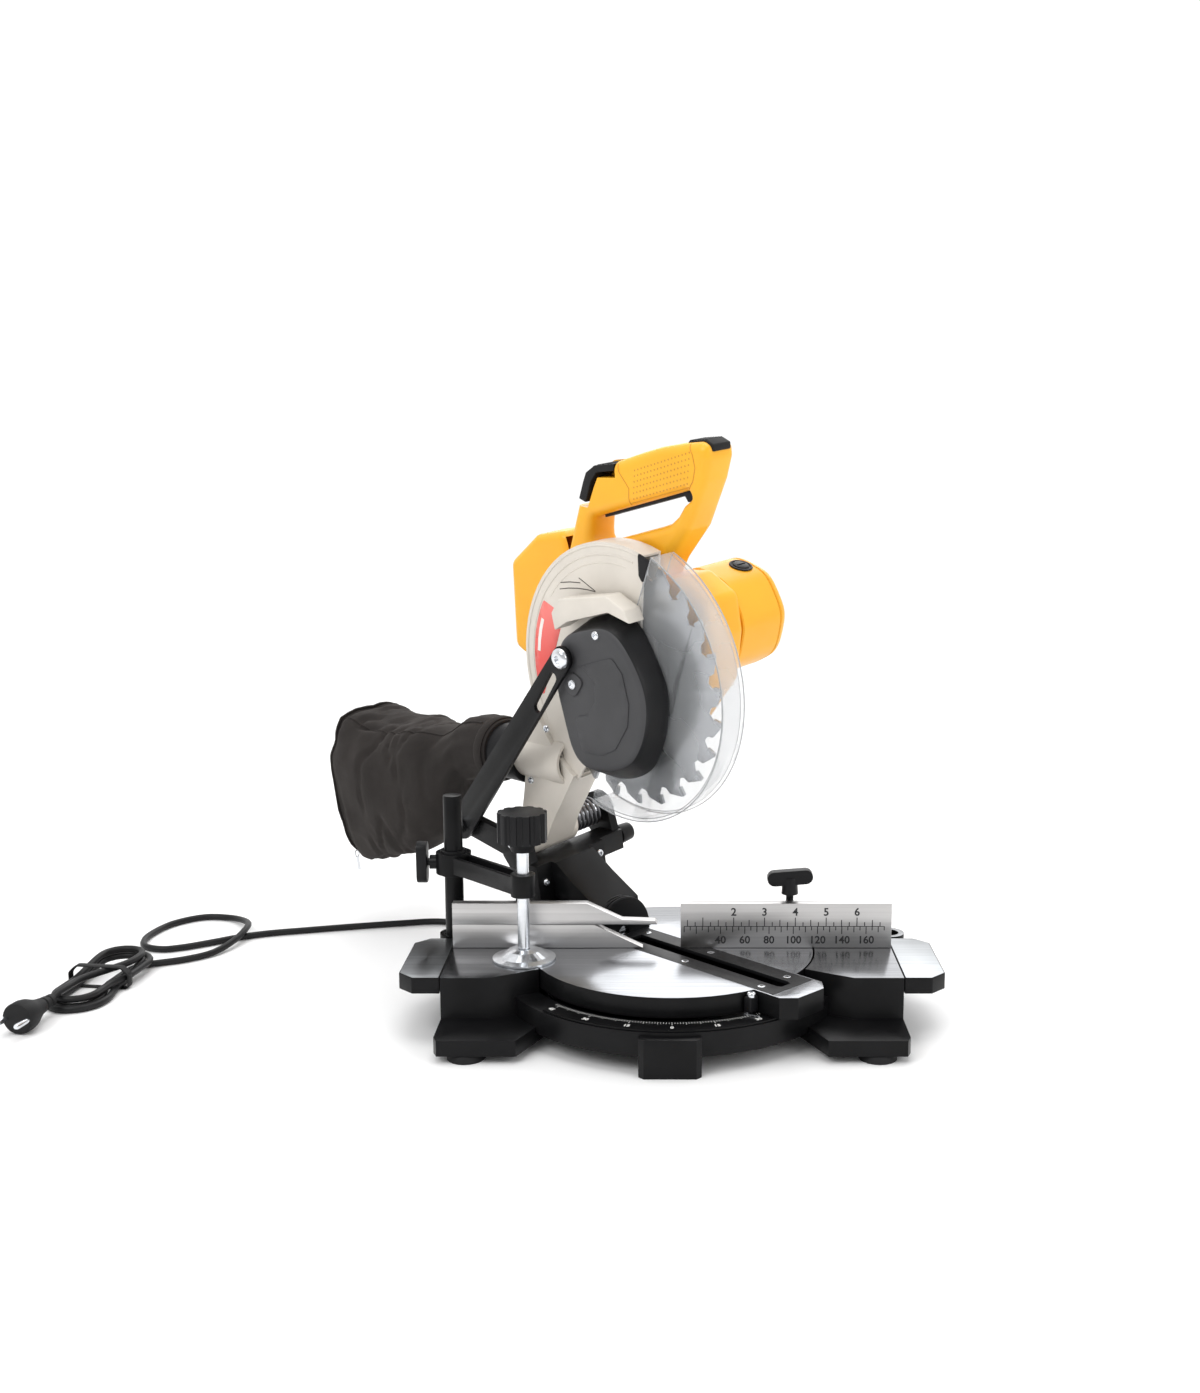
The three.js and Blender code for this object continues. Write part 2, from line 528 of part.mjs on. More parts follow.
const TRIGGER = { rearY: 52, rearZ: 358, press: 3 };

function triggerOutline() {
  return [[54, 352.5], [54, 357], [-44, 378], [-50, 384], [-56, 380], [-50, 368.5], [-41, 366.5], [-38, 371.5]];
}

function triggerPocket() {
  return [[58, 350], [58, 366], [-40, 388], [-60, 391], [-61, 372], [-52, 364], [-40, 364]];
}

function thumbOutline() {
  return [[72.5, 369], [65.5, 382.5], [61, 390], [50, 395.6], [27, 397], [28, 391.5], [49, 390], [56, 383], [65, 366]].reverse();
}

function handleShell(x0, x1) {
  const body = prismX(handleOutline(), x0, x1, [handleOpening()]);
  const thumb = prismX([[82, 364], [76, 384], [56, 404], [25.5, 404], [26.5, 386], [47, 386], [52, 379], [62, 362]].reverse(),
    HANDLE.x0 - 5, HANDLE.x1 - 9);
  const pocket = prismX(triggerPocket(), 23, 37);
  return cut(body, thumb, pocket);
}

function buildHousings(group) {
  add(group, 'main_housing', mainHousing(), yellow);
  add(group, 'motor_housing', motorTube(), yellow);
  add(group, 'motor_end_cap', motorEndCap(), yellow);
  add(group, 'brush_cap', brushCylinder(BRUSH.a, 37, 44.5, 7), blackPlastic);
  add(group, 'handle_left', handleShell(HANDLE.x0, HANDLE.split - GAP / 2), yellow);
  add(group, 'handle_right', handleShell(HANDLE.split + GAP / 2, HANDLE.x1), yellow);
  add(group, 'lock_off_button', prismX(thumbOutline(), HANDLE.x0 + 0.5, HANDLE.x1 - 9.5), rubber);
  add(group, 'trigger', prismX(triggerOutline(), 24, 36), blackPlastic);
}

// ---------------------------------------------------------------- blade, gears and motor parts
function sawBlade() {
  const pitch = 360 / BLADE.teeth;
  const tooth = [[0, 105], [0.6, 96], [3.4, 91], [6.8, 93], [8, 98.5], [12.6, 102.6]];
  const outline = Array.from({ length: BLADE.teeth }, (_, k) => tooth.map(([a, r]) => {
    const t = rad(k * pitch + a);
    return [BLADE.y - r * Math.cos(t), BLADE.z + r * Math.sin(t)];
  })).flat();
  return prismX(outline, -BLADE.half, BLADE.half, [circle(BLADE.y, BLADE.z, 8.2, 16)]);
}

function toothedWheel(centre, teeth, x0, x1, turn, bore) {
  const pitchR = (GEAR.module * teeth) / 2;
  const step = (2 * Math.PI) / teeth;
  const rows = [[-0.2, pitchR - 2.4], [-0.08, pitchR + 1.3], [0.08, pitchR + 1.3], [0.2, pitchR - 2.4]];
  const outline = Array.from({ length: teeth }, (_, k) => rows.map(([f, r]) => {
    const t = turn + (k + f) * step;
    return [centre.y + r * Math.cos(t), centre.z + r * Math.sin(t)];
  })).flat();
  return prismX(outline, x0, x1, bore ? [circle(centre.y, centre.z, bore, 24)] : []);
}

function buildDrive(group) {
  add(group, 'saw_blade', sawBlade(), steel);
  const shaft = union(cylX(BLADE.y, BLADE.z, -6, 55, 8, 24), cylX(BLADE.y, BLADE.z, 6, 36, 11, 28),
    cylX(BLADE.y, BLADE.z, 40, 57, 11, 28));
  add(group, 'arbor_shaft', shaft, steel);
  const flange = (x0, x1) => cut(cylX(BLADE.y, BLADE.z, x0, x1, 20, 24), cylX(BLADE.y, BLADE.z, -10, 10, 8.2, 16));
  add(group, 'inner_flange', flange(BLADE.half + GAP, 3.6), darkSteel);
  add(group, 'outer_flange', flange(-4.4, -BLADE.half - GAP), darkSteel);
  const bolt = prismX(hexagon(BLADE.y, BLADE.z, 13), -12, -6.3);
  add(group, 'blade_bolt', union(bolt, cylX(BLADE.y, BLADE.z, -7.6, -6.3, 11, 24)), steel);
  const mesh = Math.atan2(MOTOR.z - BLADE.z, MOTOR.y - BLADE.y);
  add(group, 'driven_gear', toothedWheel(BLADE, GEAR.wheel, 24, 34, mesh, 11.3), darkSteel);
  add(group, 'armature_pinion', union(toothedWheel(MOTOR, GEAR.pinion, 22, 36, mesh + Math.PI + Math.PI / GEAR.pinion, 0),
    cylX(MOTOR.y, MOTOR.z, 35, MOTOR.end - 2, 5, 20)), steel);
  const ringOn = (x0, x1, r, bore, sides = 24) => cut(cylX(MOTOR.y, MOTOR.z, x0, x1, r, sides),
    cylX(MOTOR.y, MOTOR.z, x0 - 1, x1 + 1, bore, 16));
  const core = union(ringOn(64, 86, 23, 5.3), ringOn(85, 96, 13, 5.3));
  add(group, 'armature_core', core, copper);
  const blades = Array.from({ length: 7 }, (_, k) => {
    const a = (k * 2 * Math.PI) / 7;
    const fin = new THREE.BoxGeometry(8, 22, 1.6).translate(46, 21, 0).rotateX(a);
    return solid(fin.translate(0, MOTOR.y, MOTOR.z));
  });
  add(group, 'cooling_fan', cut(union(cylX(MOTOR.y, MOTOR.z, 41, 44, 32, 24), cylX(MOTOR.y, MOTOR.z, 41, 50, 12, 16), ...blades),
    cylX(MOTOR.y, MOTOR.z, 30, 60, 5.3, 12)), blackPlastic);
  add(group, 'stator', ringOn(62, 84, 38.4, 25), darkSteel);
}

// ---------------------------------------------------------------- moving guard and its link
const GUARD = { r: 116.5, wall: 2.4, half: 12.5, from: -112, to: 62 };

function lowerGuard() {
  const rim = prismX(sector(GUARD.r - GUARD.wall, GUARD.r, GUARD.from, GUARD.to, 30), -GUARD.half, GUARD.half);
  const left = prismX(sector(44, GUARD.r - 0.5, GUARD.from, GUARD.to, 30), -GUARD.half, -GUARD.half + 2);
  const right = prismX(sector(28, GUARD.r - 0.5, GUARD.from, GUARD.to, 30), GUARD.half - 2, GUARD.half);
  const hub = cut(cylX(BLADE.y, BLADE.z, GUARD.half - 2, GUARD.half, 33, 40), cylX(BLADE.y, BLADE.z, 0, 20, 25.4, 40));
  return union(rim, left, right, hub);
}

function coverLoop(grow) {
  const face = [[57, 262], [50, 269], [3, 279], [-10, 275], [-26, 254], [-36, 232], [-36, 213], [-28, 190], [-14, 171],
    [7, 162], [28, 159], [52, 160], [59, 187], [64, 211], [67, 228]];
  return face.map(([y, z]) => {
    const low = z < 200 ? (200 - z) / 40 : 0;
    return [y + (y < 20 ? -grow * 0.3 : 0), z + (z > 265 ? grow : -low * grow * 1.5)];
  });
}

function ringAt(loop, x) {
  return loop.map(([y, z]) => new THREE.Vector3(x, y, z));
}

function shrink(loop, inset) {
  return loop.map(([y, z]) => {
    const d = Math.hypot(y - BLADE.y, z - 220);
    return [y + ((BLADE.y - y) * inset) / d, z + ((220 - z) * inset) / d];
  });
}

function guardCover() {
  const yz = (p) => v2(p.y, p.z);
  const outer = loft([ringAt(coverLoop(0), -37), ringAt(coverLoop(8), -12.8)], yz);
  const inner = loft([ringAt(shrink(coverLoop(0), 3), -34.5), ringAt(shrink(coverLoop(8), 3), -12)], yz);
  return cut(outer, inner);
}

function buildGuard(group) {
  add(group, 'lower_guard', lowerGuard(), clear);
  add(group, 'guard_cover', guardCover(), coverGrey);
  const bracket = prismX([[68, 270], [70, 284], [60, 296], [4, 302], [-16, 292], [-20, 282], [3, 289], [52, 278]].reverse(), -30, -12.8);
  add(group, 'guard_bracket', bracket, castGrey);
}

function buildLink(group) {
  const slotA = { y: 60, z: 235 };
  const slotB = { y: 84, z: 207 };
  const bar = prismX(capsule(LINK_FOOT, LINK_TOP, 13, 10), -44, -40.6, [
    circle(LINK_FOOT.y, LINK_FOOT.z, 3.6, 16), circle(LINK_TOP.y, LINK_TOP.z, 3.6, 16), capsule(slotA, slotB, 4, 4, 6)]);
  add(group, 'guard_link', bar, blackPaint);
  const bolt = union(cylX(LINK_TOP.y, LINK_TOP.z, -46, -37.6, 3.1, 16), cylX(LINK_TOP.y, LINK_TOP.z, -48.5, -44.4, 8, 24, 8.6));
  add(group, 'link_bolt', bolt, steel);
}

// ---------------------------------------------------------------- dust bag
function buildDust(group) {
  const elbow = cut(union(cylY(0, 145, 154, 236, 25, 24, 24), cylY(0, 145, 214, 220, 27, 24)),
    cylY(0, 147, 150, 166.4, 21.4, 24), cylY(0, 146, 160, 240, 17, 20));
  add(group, 'dust_elbow', elbow, blackPlastic);
  const stations = [[237, 128, 28, 24], [258, 112, 36, 42], [300, 98, 48, 60], [350, 88, 52, 72], [395, 84, 50, 76],
    [413, 84, 46, 72]];
  const rings = stations.map(([y, z, halfX, halfZ]) => Array.from({ length: 16 }, (_, k) => {
    const t = (k * 2 * Math.PI) / 16;
    const round = (v) => Math.sign(v) * Math.abs(v) ** 0.6;
    return new THREE.Vector3(halfX * round(Math.cos(t)), y, z + halfZ * round(Math.sin(t)));
  }).reverse());
  add(group, 'dust_bag', loft(rings, (p) => v2(p.z, p.x)), cloth);
}

// ---------------------------------------------------------------- mains lead
// The free run of the lead: out of the base, along the floor and once round before the tied hank.
const LEAD = [
  [-150, 96.2, 34], [-150, 103, 34], [-151, 114, 29], [-154, 128, 15], [-159, 146, 4.6], [-168, 168, 3.2],
  [-182, 196, 3.2], [-202, 217, 3.2], [-230, 226, 3.2], [-265, 220, 3.2], [-312, 209, 3.2], [-357, 197, 3.2],
  [-385, 189, 3.2], [-410, 177, 3.2], [-434, 160, 3.2], [-455, 147, 3.2], [-471, 142, 3.2], [-489, 149, 3.2],
  [-497, 168, 3.2], [-496, 192, 3.2], [-486, 220, 3.2], [-462, 240, 3.2], [-434, 236, 3.6], [-413, 213, 6.8],
  [-405, 186, 10.2], [-409, 158, 6.8], [-421, 132, 3.6], [-441, 114, 3.2], [-465.6, 102.3, 3.2],
];
const HANK = { x0: -489, y0: 88, x1: -499, y1: 12, half: 27, h: 19 };
const PLUG = { x: -510.7, y: -22.4, tipX: -518.7, tipY: -59.4 };

function buildLead(group) {
  const points = LEAD.map(([x, y, z]) => new THREE.Vector3(x, y, z));
  add(group, 'cord', tube(points, CORD.d / 2, CORD.sides, 56), rubber);
  const relief = cut(union(cylY(-150, 34, 56, 67, 6.2, 24), cylY(-150, 34, BLOCK.back + GAP, BLOCK.back + 3, 8, 24),
    cylY(-150, 34, BLOCK.back + 2.6, 95.7, 6, 24, 4.2)), cylY(-150, 34, 50, 60, 3, 16));
  add(group, 'cord_gland', relief, rubber);

  const hankOutline = capsule({ y: HANK.x0, z: HANK.y0 }, { y: HANK.x1, z: HANK.y1 }, HANK.half, HANK.half, 8);
  add(group, 'cord_hank', prismZ(hankOutline, 0.2, HANK.h), rubber);

  const plugBody = prismZ(capsule({ y: PLUG.x, z: PLUG.y }, { y: PLUG.tipX, z: PLUG.tipY }, 9, 15, 6), 0.2, 26);
  add(group, 'mains_plug', plugBody, rubber);
}

// ---------------------------------------------------------------- assembly
const saw = new THREE.Group();
saw.position.set(-ORIGIN.x, -ORIGIN.y, 0);
buildBase(saw);
buildFences(saw);
buildClamp(saw);
buildLead(saw);

const turntable = new THREE.Group();
turntable.position.z = TABLE_H;
turntable.rotation.z = rad(MITRE);
saw.add(turntable);
buildTurntable(turntable);

const bevel = new THREE.Group();
bevel.rotation.y = rad(-BEVEL);
turntable.add(bevel);
buildBevelArm(bevel);
buildLocks(bevel, turntable);

const head = new THREE.Group();
bevel.add(head);
add(head, 'head_casting', headCasting(), castGrey);
buildHousings(head);
buildDrive(head);
buildGuard(head);
buildLink(head);
buildDust(head);

const pivotBolt = union(cylZ(0, 0, 8, 38, 6, 24), prismZ(hexagon(0, 0, 18), 3, 9));
add(saw, 'pivot_bolt', pivotBolt, darkSteel);

export default saw;
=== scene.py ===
"""Looks of a compound mitre saw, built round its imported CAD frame. Metres, +Z up."""

import json
from math import acos, copysign, cos, exp, hypot, pi, radians, sin, sqrt, tan

import bmesh
import bpy
import numpy as np
from mathutils import Matrix, Vector, noise
from mathutils.geometry import delaunay_2d_cdt


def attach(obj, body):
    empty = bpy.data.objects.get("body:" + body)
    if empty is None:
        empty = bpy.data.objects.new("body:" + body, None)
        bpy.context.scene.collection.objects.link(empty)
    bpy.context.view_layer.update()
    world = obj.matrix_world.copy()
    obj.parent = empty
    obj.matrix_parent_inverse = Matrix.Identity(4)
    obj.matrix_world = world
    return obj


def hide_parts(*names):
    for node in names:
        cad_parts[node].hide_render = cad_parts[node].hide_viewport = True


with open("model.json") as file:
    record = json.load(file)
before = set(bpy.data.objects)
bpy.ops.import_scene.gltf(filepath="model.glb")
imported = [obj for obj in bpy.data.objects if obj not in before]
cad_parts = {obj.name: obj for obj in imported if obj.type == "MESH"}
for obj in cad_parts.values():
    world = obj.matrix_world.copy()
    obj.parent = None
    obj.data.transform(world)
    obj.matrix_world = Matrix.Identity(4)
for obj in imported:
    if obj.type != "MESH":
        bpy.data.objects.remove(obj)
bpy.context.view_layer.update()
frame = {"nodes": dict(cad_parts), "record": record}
BODY_OF = {n: b for b, nodes in frame["record"]["behaviour"]["bodies"].items() for n in nodes}

# ---- frames and sizes, mm unless said
MM = 0.001
REST_MITRE, REST_LEAN = 45, -7.5   # degrees
TABLE_H = 52
SAW = Matrix.Translation((0.0596, -0.0869, 0))   # m
TABLE = SAW @ Matrix.Translation((0, 0, TABLE_H * MM)) @ Matrix.Rotation(radians(REST_MITRE), 4, "Z")
HEAD = TABLE @ Matrix.Rotation(radians(REST_LEAN), 4, "Y")
BLADE = (22, 228)   # y, z of the blade's axis in the head frame
MOTOR = (-12, 264)  # y, z of the motor's axis
TEETH = 24
INCH = 25.4
CORD_R = 3


# ---- camera
CAMERA_AT = (0.0596, -1.2782, 0.4529)
CAMERA_DIP = 9.08   # degrees below the level


def make_camera():
    data = bpy.data.cameras.new("camera")
    data.lens = 38.77
    data.shift_x = -0.0517
    data.clip_end = 30
    camera = bpy.data.objects.new("camera", data)
    bpy.context.scene.collection.objects.link(camera)
    camera.location = CAMERA_AT
    camera.rotation_euler = (radians(90 - CAMERA_DIP), 0, 0)
    bpy.context.scene.camera = camera


make_camera()


# ---- node materials
class Look:
    """A node material on object coordinates."""

    def __init__(self, name, color, rough, metal=0.0, **sockets):
        self.mat = bpy.data.materials.new(name)
        self.mat.use_nodes = True
        self.tree = self.mat.node_tree
        self.shader = self.tree.nodes["Principled BSDF"]
        self.coords = self.tree.nodes.new("ShaderNodeTexCoord")
        self.color = tuple(color) + (1,)
        self.shader.inputs["Base Color"].default_value = self.color
        self.shader.inputs["Roughness"].default_value = rough
        self.shader.inputs["Metallic"].default_value = metal
        for key, value in sockets.items():
            self.shader.inputs[key.replace("_", " ")].default_value = value

    def node(self, kind, **values):
        made = self.tree.nodes.new(kind)
        for key, value in values.items():
            if hasattr(made, key):
                setattr(made, key, value)
            else:
                made.inputs[key.replace("_", " ")].default_value = value
        return made

    def link(self, a, b):
        self.tree.links.new(a, b)

    def mapped(self, scale, turn=(0, 0, 0)):
        mapping = self.node("ShaderNodeMapping")
        mapping.inputs["Scale"].default_value = scale
        mapping.inputs["Rotation"].default_value = turn
        self.link(self.coords.outputs["Object"], mapping.inputs["Vector"])
        return mapping.outputs["Vector"]

    def noise(self, scale, detail=3.0, vector=None, rough=0.5):
        made = self.node("ShaderNodeTexNoise", Scale=scale, Detail=detail, Roughness=rough)
        self.link(vector or self.coords.outputs["Object"], made.inputs["Vector"])
        return made.outputs["Fac"]

    def ramp(self, source, low, high, at=(0.35, 0.65)):
        made = self.node("ShaderNodeValToRGB")
        made.color_ramp.elements[0].position, made.color_ramp.elements[1].position = at
        made.color_ramp.elements[0].color = tuple(low) + (1,)
        made.color_ramp.elements[1].color = tuple(high) + (1,)
        self.link(source, made.inputs["Fac"])
        return made.outputs["Color"]

    def tint(self, source, low, high, at=(0.35, 0.65)):
        """Base colour varies between low and high times the base."""
        c = self.color
        self.link(self.ramp(source, [v * low for v in c[:3]], [min(1, v * high) for v in c[:3]], at),
                  self.shader.inputs["Base Color"])
        return self

    def gloss(self, source, low, high):
        made = self.node("ShaderNodeMapRange")
        made.inputs["To Min"].default_value = low
        made.inputs["To Max"].default_value = high
        self.link(source, made.inputs["Value"])
        self.link(made.outputs["Result"], self.shader.inputs["Roughness"])
        return self

    def bump(self, source, height_mm, strength=1.0):
        made = self.node("ShaderNodeBump", Strength=strength, Distance=height_mm * MM)
        self.link(source, made.inputs["Height"])
        if self.shader.inputs["Normal"].is_linked:
            self.link(self.shader.inputs["Normal"].links[0].from_socket, made.inputs["Normal"])
        self.link(made.outputs["Normal"], self.shader.inputs["Normal"])
        return self


def moulded(name, color, rough, grain=2600, height=0.03, spread=0.05, shine=0.5):
    look = Look(name, color, rough, Specular_IOR_Level=shine)
    look.tint(look.noise(18, 4), 1 - spread, 1 + spread)
    look.gloss(look.noise(90, 4), rough - 0.06, rough + 0.09)
    look.bump(look.noise(grain, 2), height)
    return look.mat


def painted(name, color, rough, height=0.05, coat=0.25, shine=0.5, spread=0.1):
    look = Look(name, color, rough, 0.0, Coat_Weight=coat, Coat_Roughness=0.22, Specular_IOR_Level=shine)
    look.tint(look.noise(30, 5), 1 - spread, 1 + spread)
    look.gloss(look.noise(160, 4), rough - 0.08, rough + 0.12)
    look.bump(look.noise(1400, 3), height)
    return look.mat


def milled(name, color, rough, stretch, turn=0.0, spread=0.14, height=0.012):
    look = Look(name, color, rough, 1.0, Anisotropic=0.45)
    streaks = look.noise(1, 5, look.mapped(stretch, (0, 0, turn)), 0.62)
    cloud = look.noise(9, 3)
    look.tint(streaks, 1 - spread, 1 + spread, (0.3, 0.7))
    look.gloss(cloud, rough - 0.06, rough + 0.08)
    look.bump(streaks, height)
    return look.mat


def plated(name, color, rough, grain=700):
    look = Look(name, color, rough, 1.0)
    look.tint(look.noise(60, 4), 0.86, 1.1)
    look.gloss(look.noise(grain, 4), rough - 0.07, rough + 0.12)
    look.bump(look.noise(grain * 2, 2), 0.01)
    return look.mat


def woven(name, color):
    look = Look(name, color, 0.92, 0.0, Sheen_Weight=0.1, Sheen_Roughness=0.45, Specular_IOR_Level=0.25)
    look.shader.inputs["Sheen Tint"].default_value = (0.55, 0.5, 0.46, 1)
    look.tint(look.noise(14, 5), 0.72, 1.3, (0.3, 0.7))
    for axis in ("X", "Z"):
        wave = look.node("ShaderNodeTexWave", Scale=420.0, Distortion=0.6, Detail=1.0)
        wave.bands_direction = axis
        look.link(look.mapped((1, 1, 1), (0.2, 0.1, radians(45))), wave.inputs["Vector"])
        look.bump(wave.outputs["Fac"], 0.10)
    look.bump(look.noise(55, 5), 0.7)
    return look.mat


def clear_plastic(name, color, alpha, rough):
    look = Look(name, color, rough, 0.0, Alpha=alpha, Specular_IOR_Level=0.8, Coat_Weight=0.3)
    look.tint(look.noise(20, 3), 0.95, 1.05)
    look.gloss(look.noise(45, 5), rough, rough + 0.08)
    look.bump(look.noise(26, 3), 0.05)
    return look.mat


LABEL_FADE = (0.285, 0.35)   # heights in m between which the red turns pale


def labelled(name):
    look = Look(name, (0.8, 0.06, 0.035), 0.35, 0.0, Coat_Weight=0.5, Coat_Roughness=0.1)
    split = look.node("ShaderNodeSeparateXYZ")
    look.link(look.coords.outputs["Object"], split.inputs["Vector"])
    fade = look.node("ShaderNodeMapRange")
    fade.inputs["From Min"].default_value, fade.inputs["From Max"].default_value = LABEL_FADE
    look.link(split.outputs["Z"], fade.inputs["Value"])
    look.link(look.ramp(fade.outputs["Result"], (0.78, 0.035, 0.022), (0.9, 0.24, 0.21), (0, 1)),
              look.shader.inputs["Base Color"])
    look.bump(look.noise(900, 2), 0.01)
    return look.mat


M = {
    "yellow": moulded("yellow_plastic", (0.90, 0.43, 0.017), 0.38, 2400, 0.035, 0.04, 0.4),
    "yellow_dark": moulded("yellow_dimple", (0.62, 0.26, 0.012), 0.5),
    "black_plastic": moulded("black_plastic", (0.008, 0.008, 0.009), 0.4, 1800, 0.06, 0.15, 0.2),
    "cover": moulded("cover_grey", (0.052, 0.052, 0.055), 0.5, 1500, 0.09, 0.08, 0.3),
    "cover_rim": moulded("cover_rim", (0.008, 0.008, 0.009), 0.36, 1500, 0.06, 0.1, 0.25),
    "rubber": moulded("rubber_black", (0.01, 0.01, 0.0105), 0.6, 1200, 0.08, 0.15, 0.25),
    "cord": moulded("cord_sheath", (0.009, 0.009, 0.0095), 0.45, 900, 0.06, 0.12, 0.25),
    "black_paint": painted("black_paint", (0.005, 0.005, 0.0055), 0.32, 0.05, 0.03, 0.14, 0.25),
    "cast_grey": painted("cast_grey_paint", (0.66, 0.615, 0.55), 0.42, 0.07, 0.12, 0.45, 0.035),
    "bead": painted("engraved_line", (0.09, 0.08, 0.07), 0.6, 0.05, 0),
    "milled": milled("milled_top", (0.20, 0.205, 0.215), 0.2, (4, 260, 4)),
    "milled_wing": milled("milled_wing", (0.40, 0.415, 0.43), 0.3, (4, 260, 4)),
    "milled_turn": milled("milled_table_top", (0.36, 0.37, 0.39), 0.2, (4, 240, 4), radians(-45)),
    "brushed": milled("brushed_aluminium", (0.56, 0.55, 0.545), 0.33, (3, 3, 380), 0, 0.1),
    "steel": plated("zinc_steel", (0.72, 0.74, 0.77), 0.2),
    "blade": milled("blade_steel", (0.42, 0.43, 0.45), 0.26, (60, 60, 60), 0, 0.06),
    "carbide": plated("carbide_tip", (0.45, 0.46, 0.48), 0.3),
    "dark_steel": plated("dark_steel", (0.16, 0.16, 0.17), 0.36),
    "copper": plated("copper_winding", (0.62, 0.25, 0.12), 0.34),
    "cloth": woven("bag_cloth", (0.023, 0.0195, 0.0182)),
    "clear": clear_plastic("clear_guard", (0.62, 0.64, 0.66), 0.15, 0.05),
    # the rim band is the same clear plastic; its more opaque, milky look is a painted highlight
    "clear_rim_highlight": clear_plastic("clear_guard_rim_highlight", (0.66, 0.675, 0.69), 0.36, 0.08),
    # grey edge lines of the clear guard: painted shade along its edges
    "clear_edge": clear_plastic("clear_guard_edge_shade", (0.36, 0.37, 0.38), 0.75, 0.15),
    "label_pale": moulded("label_pale", (0.86, 0.8, 0.76), 0.4),
    "label": labelled("red_label"),
    "ink": moulded("scale_ink", (0.018, 0.018, 0.02), 0.5),
    "white_ink": moulded("white_ink", (0.75, 0.75, 0.73), 0.5),
}


# ---- mesh helpers
def link(obj):
    bpy.context.scene.collection.objects.link(obj)
    return obj


def smooth(mesh, angle=32):
    mesh.polygons.foreach_set("use_smooth", [True] * len(mesh.polygons))
    mesh.set_sharp_from_angle(angle=radians(angle))


def closed_mesh(name, points, faces, merge):
    """A mesh with its doubled points merged and its faces turned outwards."""
    mesh = bpy.data.meshes.new(name)
    mesh.from_pydata(points, [], [tuple(f) for f in faces])
    bm = bmesh.new()
    bm.from_mesh(mesh)
    bmesh.ops.remove_doubles(bm, verts=bm.verts, dist=merge)
    bmesh.ops.recalc_face_normals(bm, faces=bm.faces)
    bm.to_mesh(mesh)
    bm.free()
    return mesh


def piece(name, shape, matrix, material, body, angle=32, replaces=()):
    """An object from (points, faces) in mm in a local frame, or from a list of them."""
    points, faces = joined(shape) if isinstance(shape, list) else shape
    mesh = closed_mesh(name, [matrix @ (Vector(p) * MM) for p in points], faces, 1e-6)
    smooth(mesh, angle)
    for m in material if isinstance(material, list) else [material]:
        mesh.materials.append(M[m])
    obj = link(bpy.data.objects.new(name, mesh))
    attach(obj, body)
    if replaces:
        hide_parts(*replaces)
    return obj


def evaluated(obj):
    """The (points, faces) of an object after its modifiers."""
    mesh = bpy.data.meshes.new_from_object(obj.evaluated_get(bpy.context.evaluated_depsgraph_get()))
    shape = [tuple(v.co) for v in mesh.vertices], [list(p.vertices) for p in mesh.polygons]
    bpy.data.meshes.remove(mesh)
    return shape


def joined(parts):
    """Several (points, faces) as one."""
    points, faces = [], []
    for p, f in parts:
        start = len(points)
        points += list(p)
        faces += [[i + start for i in face] for face in f]
    return points, faces


def rings(loops, caps=True, wrap=False):
    """Skin over closed loops of equal counts. wrap joins the last loop to the first."""
    n = len(loops[0])
    points = [tuple(p) for loop in loops for p in loop]
    faces = []
    for s in range(len(loops) - (0 if wrap else 1)):
        after = (s + 1) % len(loops)
        for k in range(n):
            beside = (k + 1) % n
            faces.append([s * n + k, s * n + beside, after * n + beside, after * n + k])
    if caps and not wrap:
        faces.append(list(range(n))[::-1])
        faces.append([(len(loops) - 1) * n + k for k in range(n)])
    return points, faces


def circle(steps):
    """Even angles round a circle."""
    return [2 * pi * k / steps for k in range(steps)]


def lathe(profile, centre, axis, steps=48):
    """profile is [(radius, along)], turned about axis 'X', 'Y' or 'Z' through centre."""
    cx, cy, cz = centre
    loops = []
    for r, h in profile:
        loop = []
        for a in circle(steps):
            u, v = max(r, 1e-3) * cos(a), max(r, 1e-3) * sin(a)
            loop.append({"X": (cx + h, cy + u, cz + v), "Y": (cx + u, cy + h, cz + v),
                         "Z": (cx + u, cy + v, cz + h)}[axis])
        loops.append(loop)
    return rings(loops)


def lathe_ring(profile, centre, axis, steps=60):
    """A closed ring turned from a closed profile."""
    points, faces = lathe(profile, centre, axis, steps)
    faces = faces[:-2]
    last = (len(profile) - 1) * steps
    faces += [[last + k, last + (k + 1) % steps, (k + 1) % steps, k] for k in range(steps)]
    return points, faces


def blade_point(r, degrees, x=0.0):
    """A point round the blade's axis, from the back over the top."""
    a = radians(degrees)
    return (x, BLADE[0] - r * cos(a), BLADE[1] + r * sin(a))


def arc(r, a0, a1, x, steps=40):
    return [blade_point(r, a0 + (a1 - a0) * k / steps, x) for k in range(steps + 1)]


def flat(corners):
    """(y, z) of points round the blade's axis, given as (radius, degrees)."""
    return [blade_point(r, a)[1:] for r, a in corners]


def inside(points, loops):
    """Which (y, z) points lie in a region with holes, by the even-odd rule."""
    odd = np.zeros(len(points), bool)
    for loop in loops:
        loop = np.asarray(loop, float)
        a, b = loop, np.roll(loop, -1, 0)
        for (ay, az), (by, bz) in zip(a, b):
            crosses = (az > points[:, 1]) != (bz > points[:, 1])
            if az != bz:
                odd ^= crosses & (points[:, 0] < (by - ay) * (points[:, 1] - az) / (bz - az) + ay)
    return odd


def distance(points, loops):
    """How far each point is from the nearest edge."""
    best = np.full(len(points), 1e9)
    for loop in loops:
        a = np.asarray(loop, float)
        d = np.roll(a, -1, 0) - a
        for start, way in zip(a, d):
            t = np.clip(((points - start) @ way) / max(way @ way, 1e-9), 0, 1)
            best = np.minimum(best, np.linalg.norm(points - start - t[:, None] * way, axis=1))
    return best


